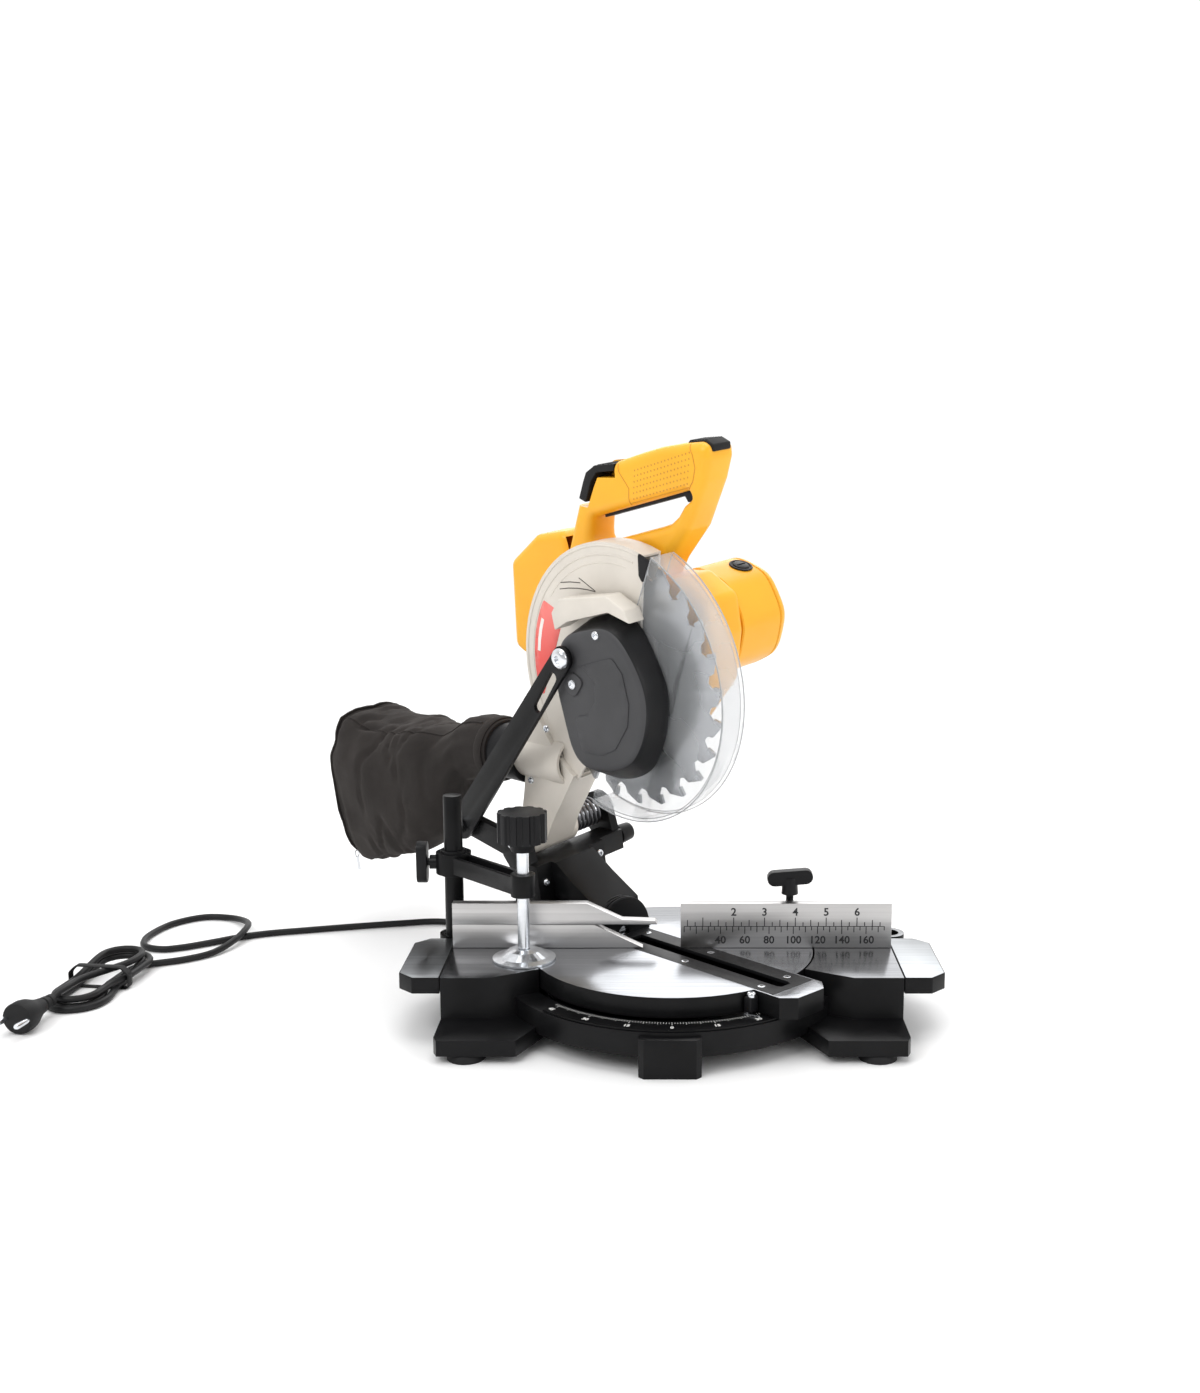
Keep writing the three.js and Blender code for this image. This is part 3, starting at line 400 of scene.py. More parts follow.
def fillet(loop, radius, steps=5):
    """Rounds a loop's corners, by as much as its edges allow."""
    out = []
    n = len(loop)
    for i in range(n):
        p, a, b = (np.array(loop[j % n], float) for j in (i, i - 1, i + 1))
        ta, tb = a - p, b - p
        la, lb = np.linalg.norm(ta), np.linalg.norm(tb)
        ta, tb = ta / la, tb / lb
        half = acos(max(-1, min(1, float(ta @ tb)))) / 2
        cutoff = min(radius / max(tan(half), 1e-3), la * 0.45, lb * 0.45)
        for k in range(steps + 1):
            t = k / steps
            q = (1 - t) ** 2 * (p + ta * cutoff) + 2 * t * (1 - t) * p + t * t * (p + tb * cutoff)
            out.append(tuple(q))
    return out


def resample(loop, step):
    out = []
    n = len(loop)
    for i in range(n):
        a, b = np.array(loop[i], float), np.array(loop[(i + 1) % n], float)
        count = max(1, int(round(np.linalg.norm(b - a) / step)))
        out += [tuple(a + (b - a) * k / count) for k in range(count)]
    return out


SAME_SPOT = 0.25    # inner points nearer than this are one
EDGE_ANGLES = (20, 35, 50, 65, 80, 90)   # where a rounded edge gets its rows of points


def sheet_mesh(loops, step, offsets):
    """Triangles of a flat region with holes, with points along inner offsets of its edge."""
    loops = [resample(loop, step) for loop in loops]
    edge_points, edges = [], []
    for loop in loops:
        start = len(edge_points)
        edge_points += loop
        edges += [(start + k, start + (k + 1) % len(loop)) for k in range(len(loop))]
    every = np.array(edge_points)
    low, high = every.min(0), every.max(0)
    inner = []
    for reach in offsets:
        for loop in loops:
            a = np.array(loop)
            way = np.roll(a, -1, 0) - np.roll(a, 1, 0)
            normal = np.stack([-way[:, 1], way[:, 0]], 1) / np.linalg.norm(way, axis=1)[:, None]
            for sign in (-1, 1):
                p = a + normal * reach * sign
                keep = inside(p, loops) & (np.abs(distance(p, loops) - reach) < reach * 0.06 + 0.02)
                inner.append(p[keep])
    grid = np.stack(np.meshgrid(np.arange(low[0], high[0], step), np.arange(low[1], high[1], step)), -1)
    grid = grid.reshape(-1, 2)
    keep = inside(grid, loops) & (distance(grid, loops) > max(offsets) + step * 0.6)
    inner.append(grid[keep])
    inner = np.concatenate([p for p in inner if len(p)])
    _, first = np.unique(np.round(inner / SAME_SPOT).astype(int), axis=0, return_index=True)
    points = np.concatenate([every, inner[np.sort(first)]])
    verts, _, tris, *_ = delaunay_2d_cdt([Vector(p) for p in points], edges, [], 0, 1e-4)
    verts = np.array([tuple(v) for v in verts])
    tris = [t for t in tris if len(t) == 3]
    centres = np.array([verts[list(t)].mean(0) for t in tris])
    keep = inside(centres, loops)
    return verts, [t for t, k in zip(tris, keep) if k], loops


def pillow(outline, holes, low, high, radius, step):
    """A plate standing across X from low to high, its outline given in (y, z), with round edges."""
    rows = [radius * (1 - cos(radians(a))) for a in EDGE_ANGLES]
    verts, tris, loops = sheet_mesh([outline] + list(holes), step, rows)
    inset = radius - np.minimum(distance(verts, loops), radius)
    drop = radius - np.sqrt(np.maximum(radius ** 2 - inset ** 2, 0))
    n = len(verts)
    points = [(low + d, y, z) for (y, z), d in zip(verts, drop)]
    points += [(high - d, y, z) for (y, z), d in zip(verts, drop)]
    faces = [list(t) for t in tris] + [[i + n for i in t[::-1]] for t in tris]
    sides = dict.fromkeys((t[k], t[(k + 1) % 3]) for t in tris for k in range(3))
    faces += [[b, a, a + n, b + n] for a, b in sides if (b, a) not in sides]
    return points, faces


def sweep(path, radius, sides=10, closed=False):
    """A round tube along points."""
    path = [Vector(p) for p in path]
    loops = []
    up = Vector((0.13, 0.21, 0.97)).normalized()
    for i, p in enumerate(path):
        a = path[i - 1] if i or closed else p
        b = path[(i + 1) % len(path)] if i + 1 < len(path) or closed else p
        way = (b - a).normalized()
        side = way.cross(up).normalized()
        up = side.cross(way).normalized()
        r = radius[i] if isinstance(radius, (list, tuple)) else radius
        loops.append([p + (side * cos(t) + up * sin(t)) * r for t in circle(sides)])
    return rings(loops, wrap=closed)


def block(x0, x1, y0, y1, z0, z1):
    points = [(x, y, z) for x in (x0, x1) for y in (y0, y1) for z in (z0, z1)]
    return points, [[0, 1, 3, 2], [4, 6, 7, 5], [0, 4, 5, 1], [2, 3, 7, 6], [0, 2, 6, 4], [1, 5, 7, 3]]


def polish(node, material, bevel, top=None):
    """The CAD node's own shape with its edges rounded. top is for faces level with the table."""
    source = frame["nodes"][node]
    bm = bmesh.new()
    bm.from_mesh(source.data)
    bmesh.ops.remove_doubles(bm, verts=bm.verts, dist=3e-6)
    bmesh.ops.dissolve_limit(bm, angle_limit=radians(0.8), verts=bm.verts, edges=bm.edges)
    if bevel:
        sharp = [e for e in bm.edges if e.is_manifold and e.calc_face_angle(0) > radians(30)]
        bmesh.ops.bevel(bm, geom=sharp, offset=bevel * MM, offset_type="OFFSET", segments=2, profile=0.65,
                        affect="EDGES", clamp_overlap=True)
    bmesh.ops.triangulate(bm, faces=[f for f in bm.faces if len(f.verts) > 4])
    mesh = bpy.data.meshes.new(node + "_look")
    bm.to_mesh(mesh)
    bm.free()
    mesh.materials.append(M[material])
    if top:
        mesh.materials.append(M[top])
        for face in mesh.polygons:
            if face.normal.z > 0.98 and abs(face.center.z - TABLE_H * MM) < 0.0004:
                face.material_index = 1
    smooth(mesh, 34)
    obj = link(bpy.data.objects.new(node + "_look", mesh))
    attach(obj, BODY_OF[node])
    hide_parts(node)
    return obj


def dress(node, material):
    """A CAD node that stays as it is, with a node material."""
    data = frame["nodes"][node].data
    data.materials.clear()
    data.materials.append(M[material])


# ---- mains lead, saw frame
LEAD = [
    (-150, 96.2, 34), (-150, 103, 34), (-151, 114, 29), (-154, 128, 15), (-159, 146, 4.6), (-168, 168, 3.2),
    (-182, 196, 3.2), (-202, 217, 3.2), (-230, 226, 3.2), (-265, 220, 3.2), (-312, 209, 3.2), (-357, 197, 3.2),
    (-385, 189, 3.2), (-410, 177, 3.2), (-434, 160, 3.2), (-455, 147, 3.2), (-471, 142, 3.2), (-489, 149, 3.2),
    (-497, 168, 3.2), (-496, 192, 3.2), (-486, 220, 3.2), (-462, 240, 3.2), (-434, 236, 3.6), (-413, 213, 6.8),
    (-405, 186, 10.2), (-409, 158, 6.8), (-421, 132, 3.6), (-441, 114, 3.2), (-465.6, 102.3, 3.2),
]
PLUG_AT, PLUG_TO = Vector((-510.7, -22.4, 0)), Vector((-518.7, -59.4, 0))
HANK_TOP, HANK_END = Vector((-489, 88)), Vector((-499, 12))
HANK_WAY = (HANK_END - HANK_TOP).normalized()
HANK_SIDE = Vector((-HANK_WAY.y, HANK_WAY.x))
HANK_RUN = (HANK_END - HANK_TOP).length
INNER, OUTER = 17.5, 23.8      # radii of the folds
LAYERS = (3.2, 9.6, 16.0)      # heights of the cord's middle
PLUG_Z = 13.1


def hank_point(s, t, z):
    """A point of the hank, s along it from its top and t to the side."""
    p = HANK_TOP + HANK_WAY * s + HANK_SIDE * t
    return (p.x, p.y, z)


def eased(f, span):
    """0 before the span, 1 after it, and smooth between."""
    f = min(1, max(0, (f - span[0]) / (span[1] - span[0])))
    return f * f * (3 - 2 * f)


def hank_run(t0, t1, z0, z1, shift, drop, back=False, begin=0.0):
    """A straight run that moves sideways over shift and in height over drop."""
    out = []
    for k in range(1, 18):
        f = begin + (1 - begin) * k / 18
        s = HANK_RUN * ((1 - f) if back else f)
        out.append(hank_point(s, t0 + (t1 - t0) * eased(f, shift), z0 + (z1 - z0) * eased(f, drop)))
    return out


def hank_fold(r, z, top):
    """A half turn at either end of the hank."""
    out = []
    for k in range(13):
        a = pi * k / 12
        s = -r * sin(a) if top else HANK_RUN + r * sin(a)
        out.append(hank_point(s, -r * cos(a) if top else r * cos(a), z))
    return out


def mixed(u, u0, u1, a, b):
    return (u1 - u) / (u1 - u0) * a + (u - u0) / (u1 - u0) * b


def through(points, per_span):
    """A centripetal Catmull-Rom line."""
    p = [np.array(q, float) for q in points]
    p = [2 * p[0] - p[1]] + p + [2 * p[-1] - p[-2]]
    out = []
    for i in range(1, len(p) - 2):
        t = [0.0]
        for a, b in ((i - 1, i), (i, i + 1), (i + 1, i + 2)):
            t.append(t[-1] + max(np.linalg.norm(p[b] - p[a]), 1e-6) ** 0.5)
        for k in range(per_span):
            u = t[1] + (t[2] - t[1]) * k / per_span
            a = [mixed(u, t[j], t[j + 1], p[i - 1 + j], p[i + j]) for j in range(3)]
            b = [mixed(u, t[j], t[j + 2], a[j], a[j + 1]) for j in range(2)]
            out.append(mixed(u, t[1], t[2], *b))
    return out + [p[-2]]


def make_lead():
    low, mid, high = LAYERS
    path = through(LEAD, 5)
    turn_r, turn_by = 30, radians(57)   # the bend from the loop into the hank
    s0, t0 = -17.2, 21.3
    for k in range(1, 9):
        a = turn_by * (1 - k / 8)
        s = s0 + turn_r * (sin(turn_by) - sin(a))
        t = t0 - turn_r * (cos(a) - cos(turn_by))
        path.append(hank_point(s, t, low))
    t_in = t0 - turn_r * (1 - cos(turn_by))
    path += hank_run(t_in, INNER, low, low, (0.5, 0.95), (0, 1), begin=0.12)
    path += hank_fold(INNER, low, False)
    path += hank_run(-INNER, -INNER, low, mid, (0, 1), (0.3, 1), back=True)
    path += hank_fold(INNER, mid, True)
    path += hank_run(INNER, OUTER, mid, low, (0.5, 0.95), (0, 0.42))
    path += hank_fold(OUTER, low, False)
    path += hank_run(-OUTER, -OUTER, low, mid, (0, 1), (0.3, 1), back=True)
    path += hank_fold(OUTER, mid, True)
    path += hank_run(OUTER, INNER, mid, mid, (0.4, 0.75), (0, 1))
    path += hank_fold(INNER, mid, False)
    path += hank_run(-INNER, -INNER, mid, high, (0, 1), (0.3, 1), back=True)
    path += hank_fold(INNER, high, True)
    path += hank_run(INNER, -5, high, high, (0.1, 0.95), (0, 1))
    path += [hank_point(HANK_RUN + 4, -5.2, high), hank_point(96, -5.8, 15.9), hank_point(102, -6.4, 14.2),
             hank_point(108, -6.9, 13.2)]
    world = [SAW @ (Vector(q) * MM) for q in path]
    curve = bpy.data.curves.new("mains_lead", "CURVE")
    curve.dimensions = "3D"
    curve.bevel_depth = CORD_R * MM
    curve.bevel_resolution = 3
    curve.use_fill_caps = True
    spline = curve.splines.new("POLY")
    spline.points.add(len(world) - 1)
    for point, co in zip(spline.points, world):
        point.co = (*co, 1)
    spline.use_smooth = True
    curve.materials.append(M["cord"])
    lead = link(bpy.data.objects.new("mains_lead", curve))
    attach(lead, "base")
    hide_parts("cord", "cord_hank")

    half, top = OUTER + CORD_R + 0.2, high + CORD_R + 0.2
    outline = fillet([(-half, 0.3), (half, 0.3), (half, 13), (INNER + 3, top), (-INNER - 3, top),
                      (-half, 13)], 5, 4)
    loops = []
    for grow, s in ((0.0, 34), (0.5, 34.6), (0.5, 41.4), (0.0, 42), (-0.6, 41.4), (-0.6, 34.6)):
        loops.append([hank_point(s, t * (1 + grow / half), max(0.2, z + (grow if z > 6 else -grow * 0.1)))
                      for t, z in outline])
    tie = piece("lead_tie", rings(loops, caps=False, wrap=True), SAW, "rubber", "base", 40)

    way = (PLUG_TO - PLUG_AT).normalized()
    side = Vector((-way.y, way.x, 0))
    stations = [(-8, 4.2), (-7.5, 5), (-3, 5.2), (-2.4, 4.4), (-1, 4.6), (-0.4, 5.6), (4, 5.9), (4.6, 5),
                (6, 5.2), (6.6, 6.4), (12, 7.2), (18, 9.4), (24, 12), (28, 12.9), (36, 12.9), (37.4, 12.2),
                (37.8, 11)]
    loops = []
    for s, r in stations:
        loop = []
        for a in circle(32):
            c = PLUG_AT + way * s + side * (r * 1.05 * cos(a))
            loop.append((c.x, c.y, PLUG_Z + r * sin(a)))
        loops.append(loop)
    plug = piece("lead_plug", rings(loops), SAW, "rubber", "base", 40, ["mains_plug"])
    pins = []
    for off in (-9.5, 9.5):
        a, b = (PLUG_AT + way * reach + side * off for reach in (37, 52.5))
        pins.append(sweep([(*q.xy, PLUG_Z) for q in (a, a.lerp(b, 0.9), b)], [2.4, 2.4, 1.7], 20))
    prongs = piece("plug_pins", pins, SAW, "steel", "base", 40)


make_lead()


# ---- CAD shapes that stay, with rounded edges
POLISHED = {   # node: look, bevel in mm, and a look for the faces level with the table
    "base_casting": ("black_paint", 0.9, "milled"), "mitre_scale": ("black_paint", 0),
    "wing_left": ("black_paint", 0.8, "milled_wing"), "wing_right": ("black_paint", 0.8, "milled_wing"),
    **{f"foot_{end}_{side}": ("rubber", 0.8) for end in ("front", "rear") for side in ("left", "right")},
    "fence_right": ("brushed", 0.35), "fence_left": ("brushed", 0.35),
    "fence_left_slide": ("brushed", 0.35), "fence_wing_bolt": ("black_plastic", 0.7),
    "clamp_post": ("black_paint", 0.8), "clamp_bush": ("black_plastic", 0.5),
    "clamp_arm": ("black_paint", 0.6), "clamp_thumbscrew": ("black_plastic", 1.2),
    "clamp_knob": ("black_plastic", 0.7), "turntable": ("black_paint", 0.6, "milled_turn"),
    "kerf_plate": ("black_plastic", 0.3), "mitre_pointer": ("steel", 0.15),
    "bevel_bolt": ("steel", 0.5), "bevel_lock_lever": ("black_plastic", 0.8),
    "bevel_housing": ("black_paint", 0.9), "chop_pin": ("steel", 0.4),
    "link_pivot_screw": ("steel", 0.6), "head_lock_pin": ("black_plastic", 0.7),
    "guard_link": ("black_paint", 0.5), "head_casting": ("cast_grey", 0.45),
    "guard_bracket": ("cast_grey", 1.4), "lock_off_button": ("rubber", 0.9),
    "trigger": ("black_plastic", 1.2), "saw_blade": ("blade", 0.12),
    "dust_elbow": ("black_plastic", 0.8), "cord_gland": ("rubber", 0.5),
}
for node, how in POLISHED.items():
    polish(node, *how)
PLAIN = {
    "dark_steel": ("pivot_bolt", "stator", "inner_flange", "outer_flange", "driven_gear"),
    "steel": ("arbor_shaft", "blade_bolt", "armature_pinion", "clamp_foot", "clamp_spindle"),
    "copper": ("armature_core",), "black_plastic": ("cooling_fan",),
}
for look, nodes in PLAIN.items():
    for node in nodes:
        dress(node, look)


# ---- helpers for the looks
def carve(body, cutters):
    """A closed body less other closed bodies, all (points, faces) in mm."""
    target, *tools = [link(bpy.data.objects.new("solid", closed_mesh("solid", *shape, 1e-4)))
                      for shape in [body, *cutters]]
    for tool in tools:
        cut = target.modifiers.new("cut", "BOOLEAN")
        cut.operation, cut.object, cut.solver = "DIFFERENCE", tool, "EXACT"
    bpy.context.view_layer.update()
    shape = evaluated(target)
    for obj in [target, *tools]:
        bpy.data.objects.remove(obj)
    return shape


def slab(outline, x0, x1):
    return rings([[(x, y, z) for y, z in outline] for x in (x0, x1)])


def rod(spot, x0, x1, r, steps=64):
    return lathe([(r, x0), (r, x1)], (0, *spot), "X", steps)


def polar(loop, centre, count):
    """The radius of a closed loop at even angles about a centre inside it."""
    p = np.array(loop, float) - centre
    e = np.roll(p, -1, 0) - p
    out = []
    for a in circle(count):
        dx, dy = cos(a), sin(a)
        det = e[:, 0] * dy - dx * e[:, 1]
        det[np.abs(det) < 1e-9] = 1e-9
        s = (e[:, 0] * p[:, 1] - p[:, 0] * e[:, 1]) / det
        t = (dx * p[:, 1] - dy * p[:, 0]) / det
        out.append(float(np.max(s[(t > -1e-6) & (t < 1 + 1e-6)])))
    return np.array(out)


def softened(radii, reach):
    """Radii averaged along the loop with a rounded window."""
    window = np.hanning(2 * reach + 1)
    wide = np.concatenate([radii[-reach:], radii, radii[:reach]])
    return np.convolve(wide, window / window.sum(), "valid")


def ring_loop(x, radii, centre):
    return [(x, centre[0] + r * cos(a), centre[1] + r * sin(a))
            for r, a in zip(radii, circle(len(radii)))]


def paint(obj, matrix, index, rule):
    """Gives a material index to the faces whose centre, in mm in a local frame, keeps the rule."""
    back = matrix.inverted()
    for face in obj.data.polygons:
        c = (back @ face.center) / MM
        if rule(c):
            face.material_index = index


def screw(centre, axis, r, h, sign=1):
    """A domed head with a round socket, standing up from centre along the axis."""
    profile = [(0, 0), (1, 0), (1, 0.35), (0.95, 0.68), (0.82, 0.9), (0.6, 1), (0.46, 1), (0.44, 0.35),
               (0, 0.35)]
    return lathe([(r * a, h * b * sign) for a, b in profile], centre, axis, 30)


# ---- handle
HANDLE_EDGE = [(97, 312), (97, 321), (68, 381), (62, 391), (50, 397), (26, 398.5), (0, 404.5), (-22, 409),
               (-48, 412), (-68, 413), (-74.5, 409), (-74.5, 400), (-67.5, 383), (-46, 346.5), (-20, 320.5),
               (-6, 301), (70, 309)]
HANDLE_HOLE = [(61, 353.5), (-50, 377), (-53, 371), (-43, 365), (-36, 357), (-27, 351), (-18, 348.5),
               (66, 330.3)]
HANDLE_X = (14, 46)
HANDLE_ROUND = 7.5
HANDLE_LOOP = fillet(HANDLE_EDGE, 9, 5)
HOLE_LOOP = fillet(HANDLE_HOLE, 7, 4)


def on_handle(y, z, proud=0.0):
    """A point on the handle's left face."""
    reach = float(distance(np.array([[y, z]]), [HANDLE_LOOP, HOLE_LOOP])[0])
    inset = HANDLE_ROUND - min(reach, HANDLE_ROUND)
    return (HANDLE_X[0] + HANDLE_ROUND - sqrt(max(0, HANDLE_ROUND ** 2 - inset ** 2)) - proud, y, z)


def between(a, b, count):
    return [tuple(np.array(a) + (np.array(b) - np.array(a)) * k / (count - 1)) for k in range(count)]


def make_handle():
    shell = pillow(HANDLE_LOOP, [HOLE_LOOP], *HANDLE_X, HANDLE_ROUND, 4.2)
    thumb = [(82, 364), (76, 384), (56, 404), (25.5, 404), (26.5, 386), (47, 386), (52, 379), (62, 362)]
    pocket = [(58, 350), (58, 366), (-40, 388), (-60, 391), (-61, 372), (-52, 364), (-40, 364)]
    cut = carve(shell, [slab(thumb, 9, 37), slab(pocket, 23, 37)])
    piece("handle_shell", cut, HEAD, "yellow", "head", 35,
          ["handle_left", "handle_right"])
    seams = []
    for line in ([(23, 396.5), (21, 390), (12, 378), (13.5, 368), (14, 364.6)],
                 [(-56, 411), (-60, 404), (-61.5, 394), (-58, 384), (-53, 378.4)],
                 [(14, 365.8), (-10, 370.9), (-34, 375.9), (-53, 379.6)]):
        fine = [q for a, b in zip(line, line[1:]) for q in between(a, b, 5)]
        seams.append(sweep([on_handle(y, z, -0.1) for y, z in fine], 0.5, 8))
    piece("grip_seam", seams, HEAD, "yellow_dark", "head", 60)
    dots = []
    for low, high in zip(between((8, 370), (-52, 382.5), 17), between((3.5, 392), (-57, 405.5), 17)):
        for row in range(6):
            y, z = np.array(low) + (np.array(high) - np.array(low)) * row / 5
            x = on_handle(y, z)[0]
            ring = ring_loop(x + 0.02, [0.95] * 8, (y, z))
            faces = [[k, (k + 1) % 8, 8] for k in range(8)] + [[(k + 1) % 8, k, 9] for k in range(8)]
            dots.append((ring + [(x - 0.28, y, z), (x + 0.4, y, z)], faces))
    piece("grip_dots", dots, HEAD, "yellow_dark", "head", 60)
    front = [(-50, 409), (-50, 413.2), (-69, 414.2), (-76.2, 410.6), (-76.2, 405), (-71, 406)]
    pad = [pillow(fillet(front, 1.6, 3), [], 20.5, 39.5, 1.2, 3.0)]
    for y, z in between((-52, 413.4), (-68, 414), 7):
        pad.append(sweep([(21.4, y, z), (30, y, z), (38.6, y, z)], 0.6, 8))
    piece("grip_front_pad", pad, HEAD, "rubber", "head", 40)
    ribs = []
    for y, z in [(70.9, 371.5), (68.4, 376.4), (65.9, 381.2), (62.6, 386.6), (57.4, 391.4), (52, 394.3),
                 (46.4, 395.6), (40.6, 396.1), (34.8, 396.4)]:
        ribs.append(sweep([(15.6, y, z), (25, y, z), (35.4, y, z)], 0.75, 8))
    piece("thumb_ribs", ribs, HEAD, "rubber", "lock_button", 50)


# ---- yellow housings
HOUSE_EDGE = [(184, 236), (176, 312), (139, 336), (99.5, 341), (96, 319), (70, 316.2), (0, 308.2),
              (-30, 309), (-56, 292), (-58, 262), (-48, 222), (-16, 187), (40, 174), (104, 194)]
HOUSE_MID = np.array([62, 262])
HOUSE_WALL = 5.5
MOTOR_FACET = 43.3
MOTOR_BORE = 39
MOTOR_STEPS = 96
BRUSH_TURN = 110   # degrees
ROUNDNESS = 13     # the higher, the sharper the corners of the octagon


def facet_radius(angle, size):
    """The radius at an angle of a round-cornered octagon."""
    total = sum(max(0.0, cos(angle - radians(BRUSH_TURN + 45 * k))) ** ROUNDNESS for k in range(8))
    return size / total ** (1 / ROUNDNESS)


def motor_loop(x, size):
    return ring_loop(x, [facet_radius(a, size) for a in circle(MOTOR_STEPS)], MOTOR)


def make_housings():
    void = []
    for p in map(np.array, HOUSE_EDGE):
        inward = (HOUSE_MID - p) / np.linalg.norm(HOUSE_MID - p)
        void.append(tuple(p + inward * HOUSE_WALL))
    body = pillow(fillet(HOUSE_EDGE, 10, 4), [], 18, 58, 7, 4.5)
    body = carve(body, [slab(void, 20.6, 54.8), rod(MOTOR, 50, 62, MOTOR_BORE), rod(BLADE, 14, 56.6, 11.6)])
    piece("housing_shell", body, HEAD, "yellow", "head", 35, ["main_housing"])
    nose = [(0, 57.3), (14.5, 57.3), (15.6, 58), (15.9, 60), (15.2, 62.2), (13.5, 63), (0, 63)]
    piece("arbor_nose", lathe(nose, (0, *BLADE), "X", 48), HEAD, "yellow", "head", 35)
    size = MOTOR_FACET
    plan = ((58.3, size - 1), (59.3, size), (70, size), (86, size), (101.9, size), (102.9, size - 0.9))
    loops = [motor_loop(x, s) for x, s in plan]
    loops += [ring_loop(x, [MOTOR_BORE] * MOTOR_STEPS, MOTOR) for x in (102.9, 58.3)]
    tube = carve(rings(loops, caps=False, wrap=True), [rod(BLADE, 50, 63.4, 16.4)])
    piece("motor_shell", tube, HEAD, "yellow", "head", 25, ["motor_housing"])
    ends = [(103.3, 20), (103.3, size - 1), (104.1, size), (106.5, size - 0.3), (109.5, size - 1.9),
            (112.3, size - 4.8), (114.6, size - 9), (115.9, size - 14), (116.3, size - 20)]
    slots = []
    for up in (-24, -14, -4, 6, 16, 26):
        wide = sqrt(29 ** 2 - up ** 2) * 0.85
        corners = ((-wide, -2), (wide, -2), (wide, 2), (-wide, 2))
        loop = fillet([(MOTOR[0] + y, MOTOR[1] + up + z) for y, z in corners], 1.8, 4)
        slots.append(slab(loop, 109, 120))
    cap = carve(rings([motor_loop(x, s) for x, s in ends]), slots)
    piece("motor_cap", cap, HEAD, "yellow", "head", 25, ["motor_end_cap"])
    turned = Matrix.Rotation(radians(BRUSH_TURN - 90), 4, "X")
    stand = HEAD @ Matrix.Translation(Vector((92, *MOTOR)) * MM) @ turned
    profile = [(0, 37), (6.6, 37), (6.6, size), (9.4, size), (9.8, size + 0.5), (9.3, size + 1.1),
               (8.1, size + 1.2), (7.6, size + 0.5), (6.9, size + 0.5), (6.4, size + 1.4), (5.6, size + 1.7),
               (0, size + 1.7)]
    cap = carve(lathe(profile, (0, 0, 0), "Z", 48), [block(-4.6, 4.6, -0.8, 0.8, size + 0.6, size + 4)])
    piece("brush_cap_top", cap, stand, "black_plastic", "head", 35, ["brush_cap"])


# ---- guard cover
COVER_MID = (15, 218)


def cover_edge(grow):
    """The cover's outline, grown outwards over its top and its lower half."""
    face = [(57, 262), (50, 269), (3, 279), (-10, 275), (-26, 254), (-36, 232), (-36, 213), (-28, 190),
            (-14, 171), (7, 162), (28, 159), (52, 160), (59, 187), (64, 211), (67, 228)]
    out = []
    for y, z in face:
        low = (200 - z) / 40 if z < 200 else 0
        out.append((y - grow * 0.3 if y < 20 else y, z + (grow if z > 265 else -low * grow * 1.5)))
    return fillet(out, 12, 4)


def make_cover():
    face, rim = (softened(polar(cover_edge(grow), COVER_MID, 144), 9) for grow in (0, 8))
    plan = [(-37, 0, 5.2), (-36.9, 0, 3.4), (-36.3, 0, 1.6), (-35.2, 0, 0.5), (-33.8, 0.02, 0),
            (-30, 0.2, 0), (-24, 0.5, 0), (-18, 0.78, 0), (-13.6, 0.98, 0), (-12.9, 1, 0.5), (-12.8, 1, 1.2),
            (-12.8, 1, 2.6), (-20, 0.7, 3), (-34, 0, 3.6)]   # x, how far from face to rim, inset
    shell = rings([ring_loop(x, face + (rim - face) * t - inset, COVER_MID) for x, t, inset in plan])
    cover = piece("cover_shell", shell, HEAD, ["cover", "cover_rim"], "guard", 40,
                  ["guard_cover"])
    paint(cover, HEAD, 1, lambda c: c.x > -35.4)
    panel = fillet([(39, 244), (-5, 256), (-15, 244), (-19, 220), (-15, 202), (2, 181), (19, 174), (42, 174),
                    (46, 203), (30, 206), (20, 218), (18, 235), (32, 246)], 6, 4)
    boss = fillet([(57, 230), (43, 241), (30, 233), (44, 217)], 9, 5)
    raised = [pillow(panel, [], -37.9, -36.8, 0.5, 5), pillow(boss, [], -38.6, -36.8, 1.0, 3)]
    piece("cover_relief", raised, HEAD, "cover", "guard", 40)
    heads = [screw((-36.9, 11, 272), "X", 3.6, 2, -1), screw((-38.5, 43.5, 230), "X", 4.2, 1.6, -1)]
    piece("cover_screws", heads, HEAD, "steel", "guard", 35)
    bolt = [(0, -39), (3.1, -39), (3.1, -44.4), (8.6, -44.4), (8.6, -45), (8.2, -46.6), (7.2, -47.8),
            (5.6, -48.5), (3.2, -48.5), (3.0, -46.5), (0, -46.5)]
    piece("link_bolt_head", lathe(bolt, (0, 47, 252), "X", 40), HEAD, "steel", "guard_link", 35,
          ["link_bolt"])


# ---- clear guard
GUARD_ENDS = (-112, 62)        # degrees
RIM_OUT, RIM_IN = 115.9, 113.6


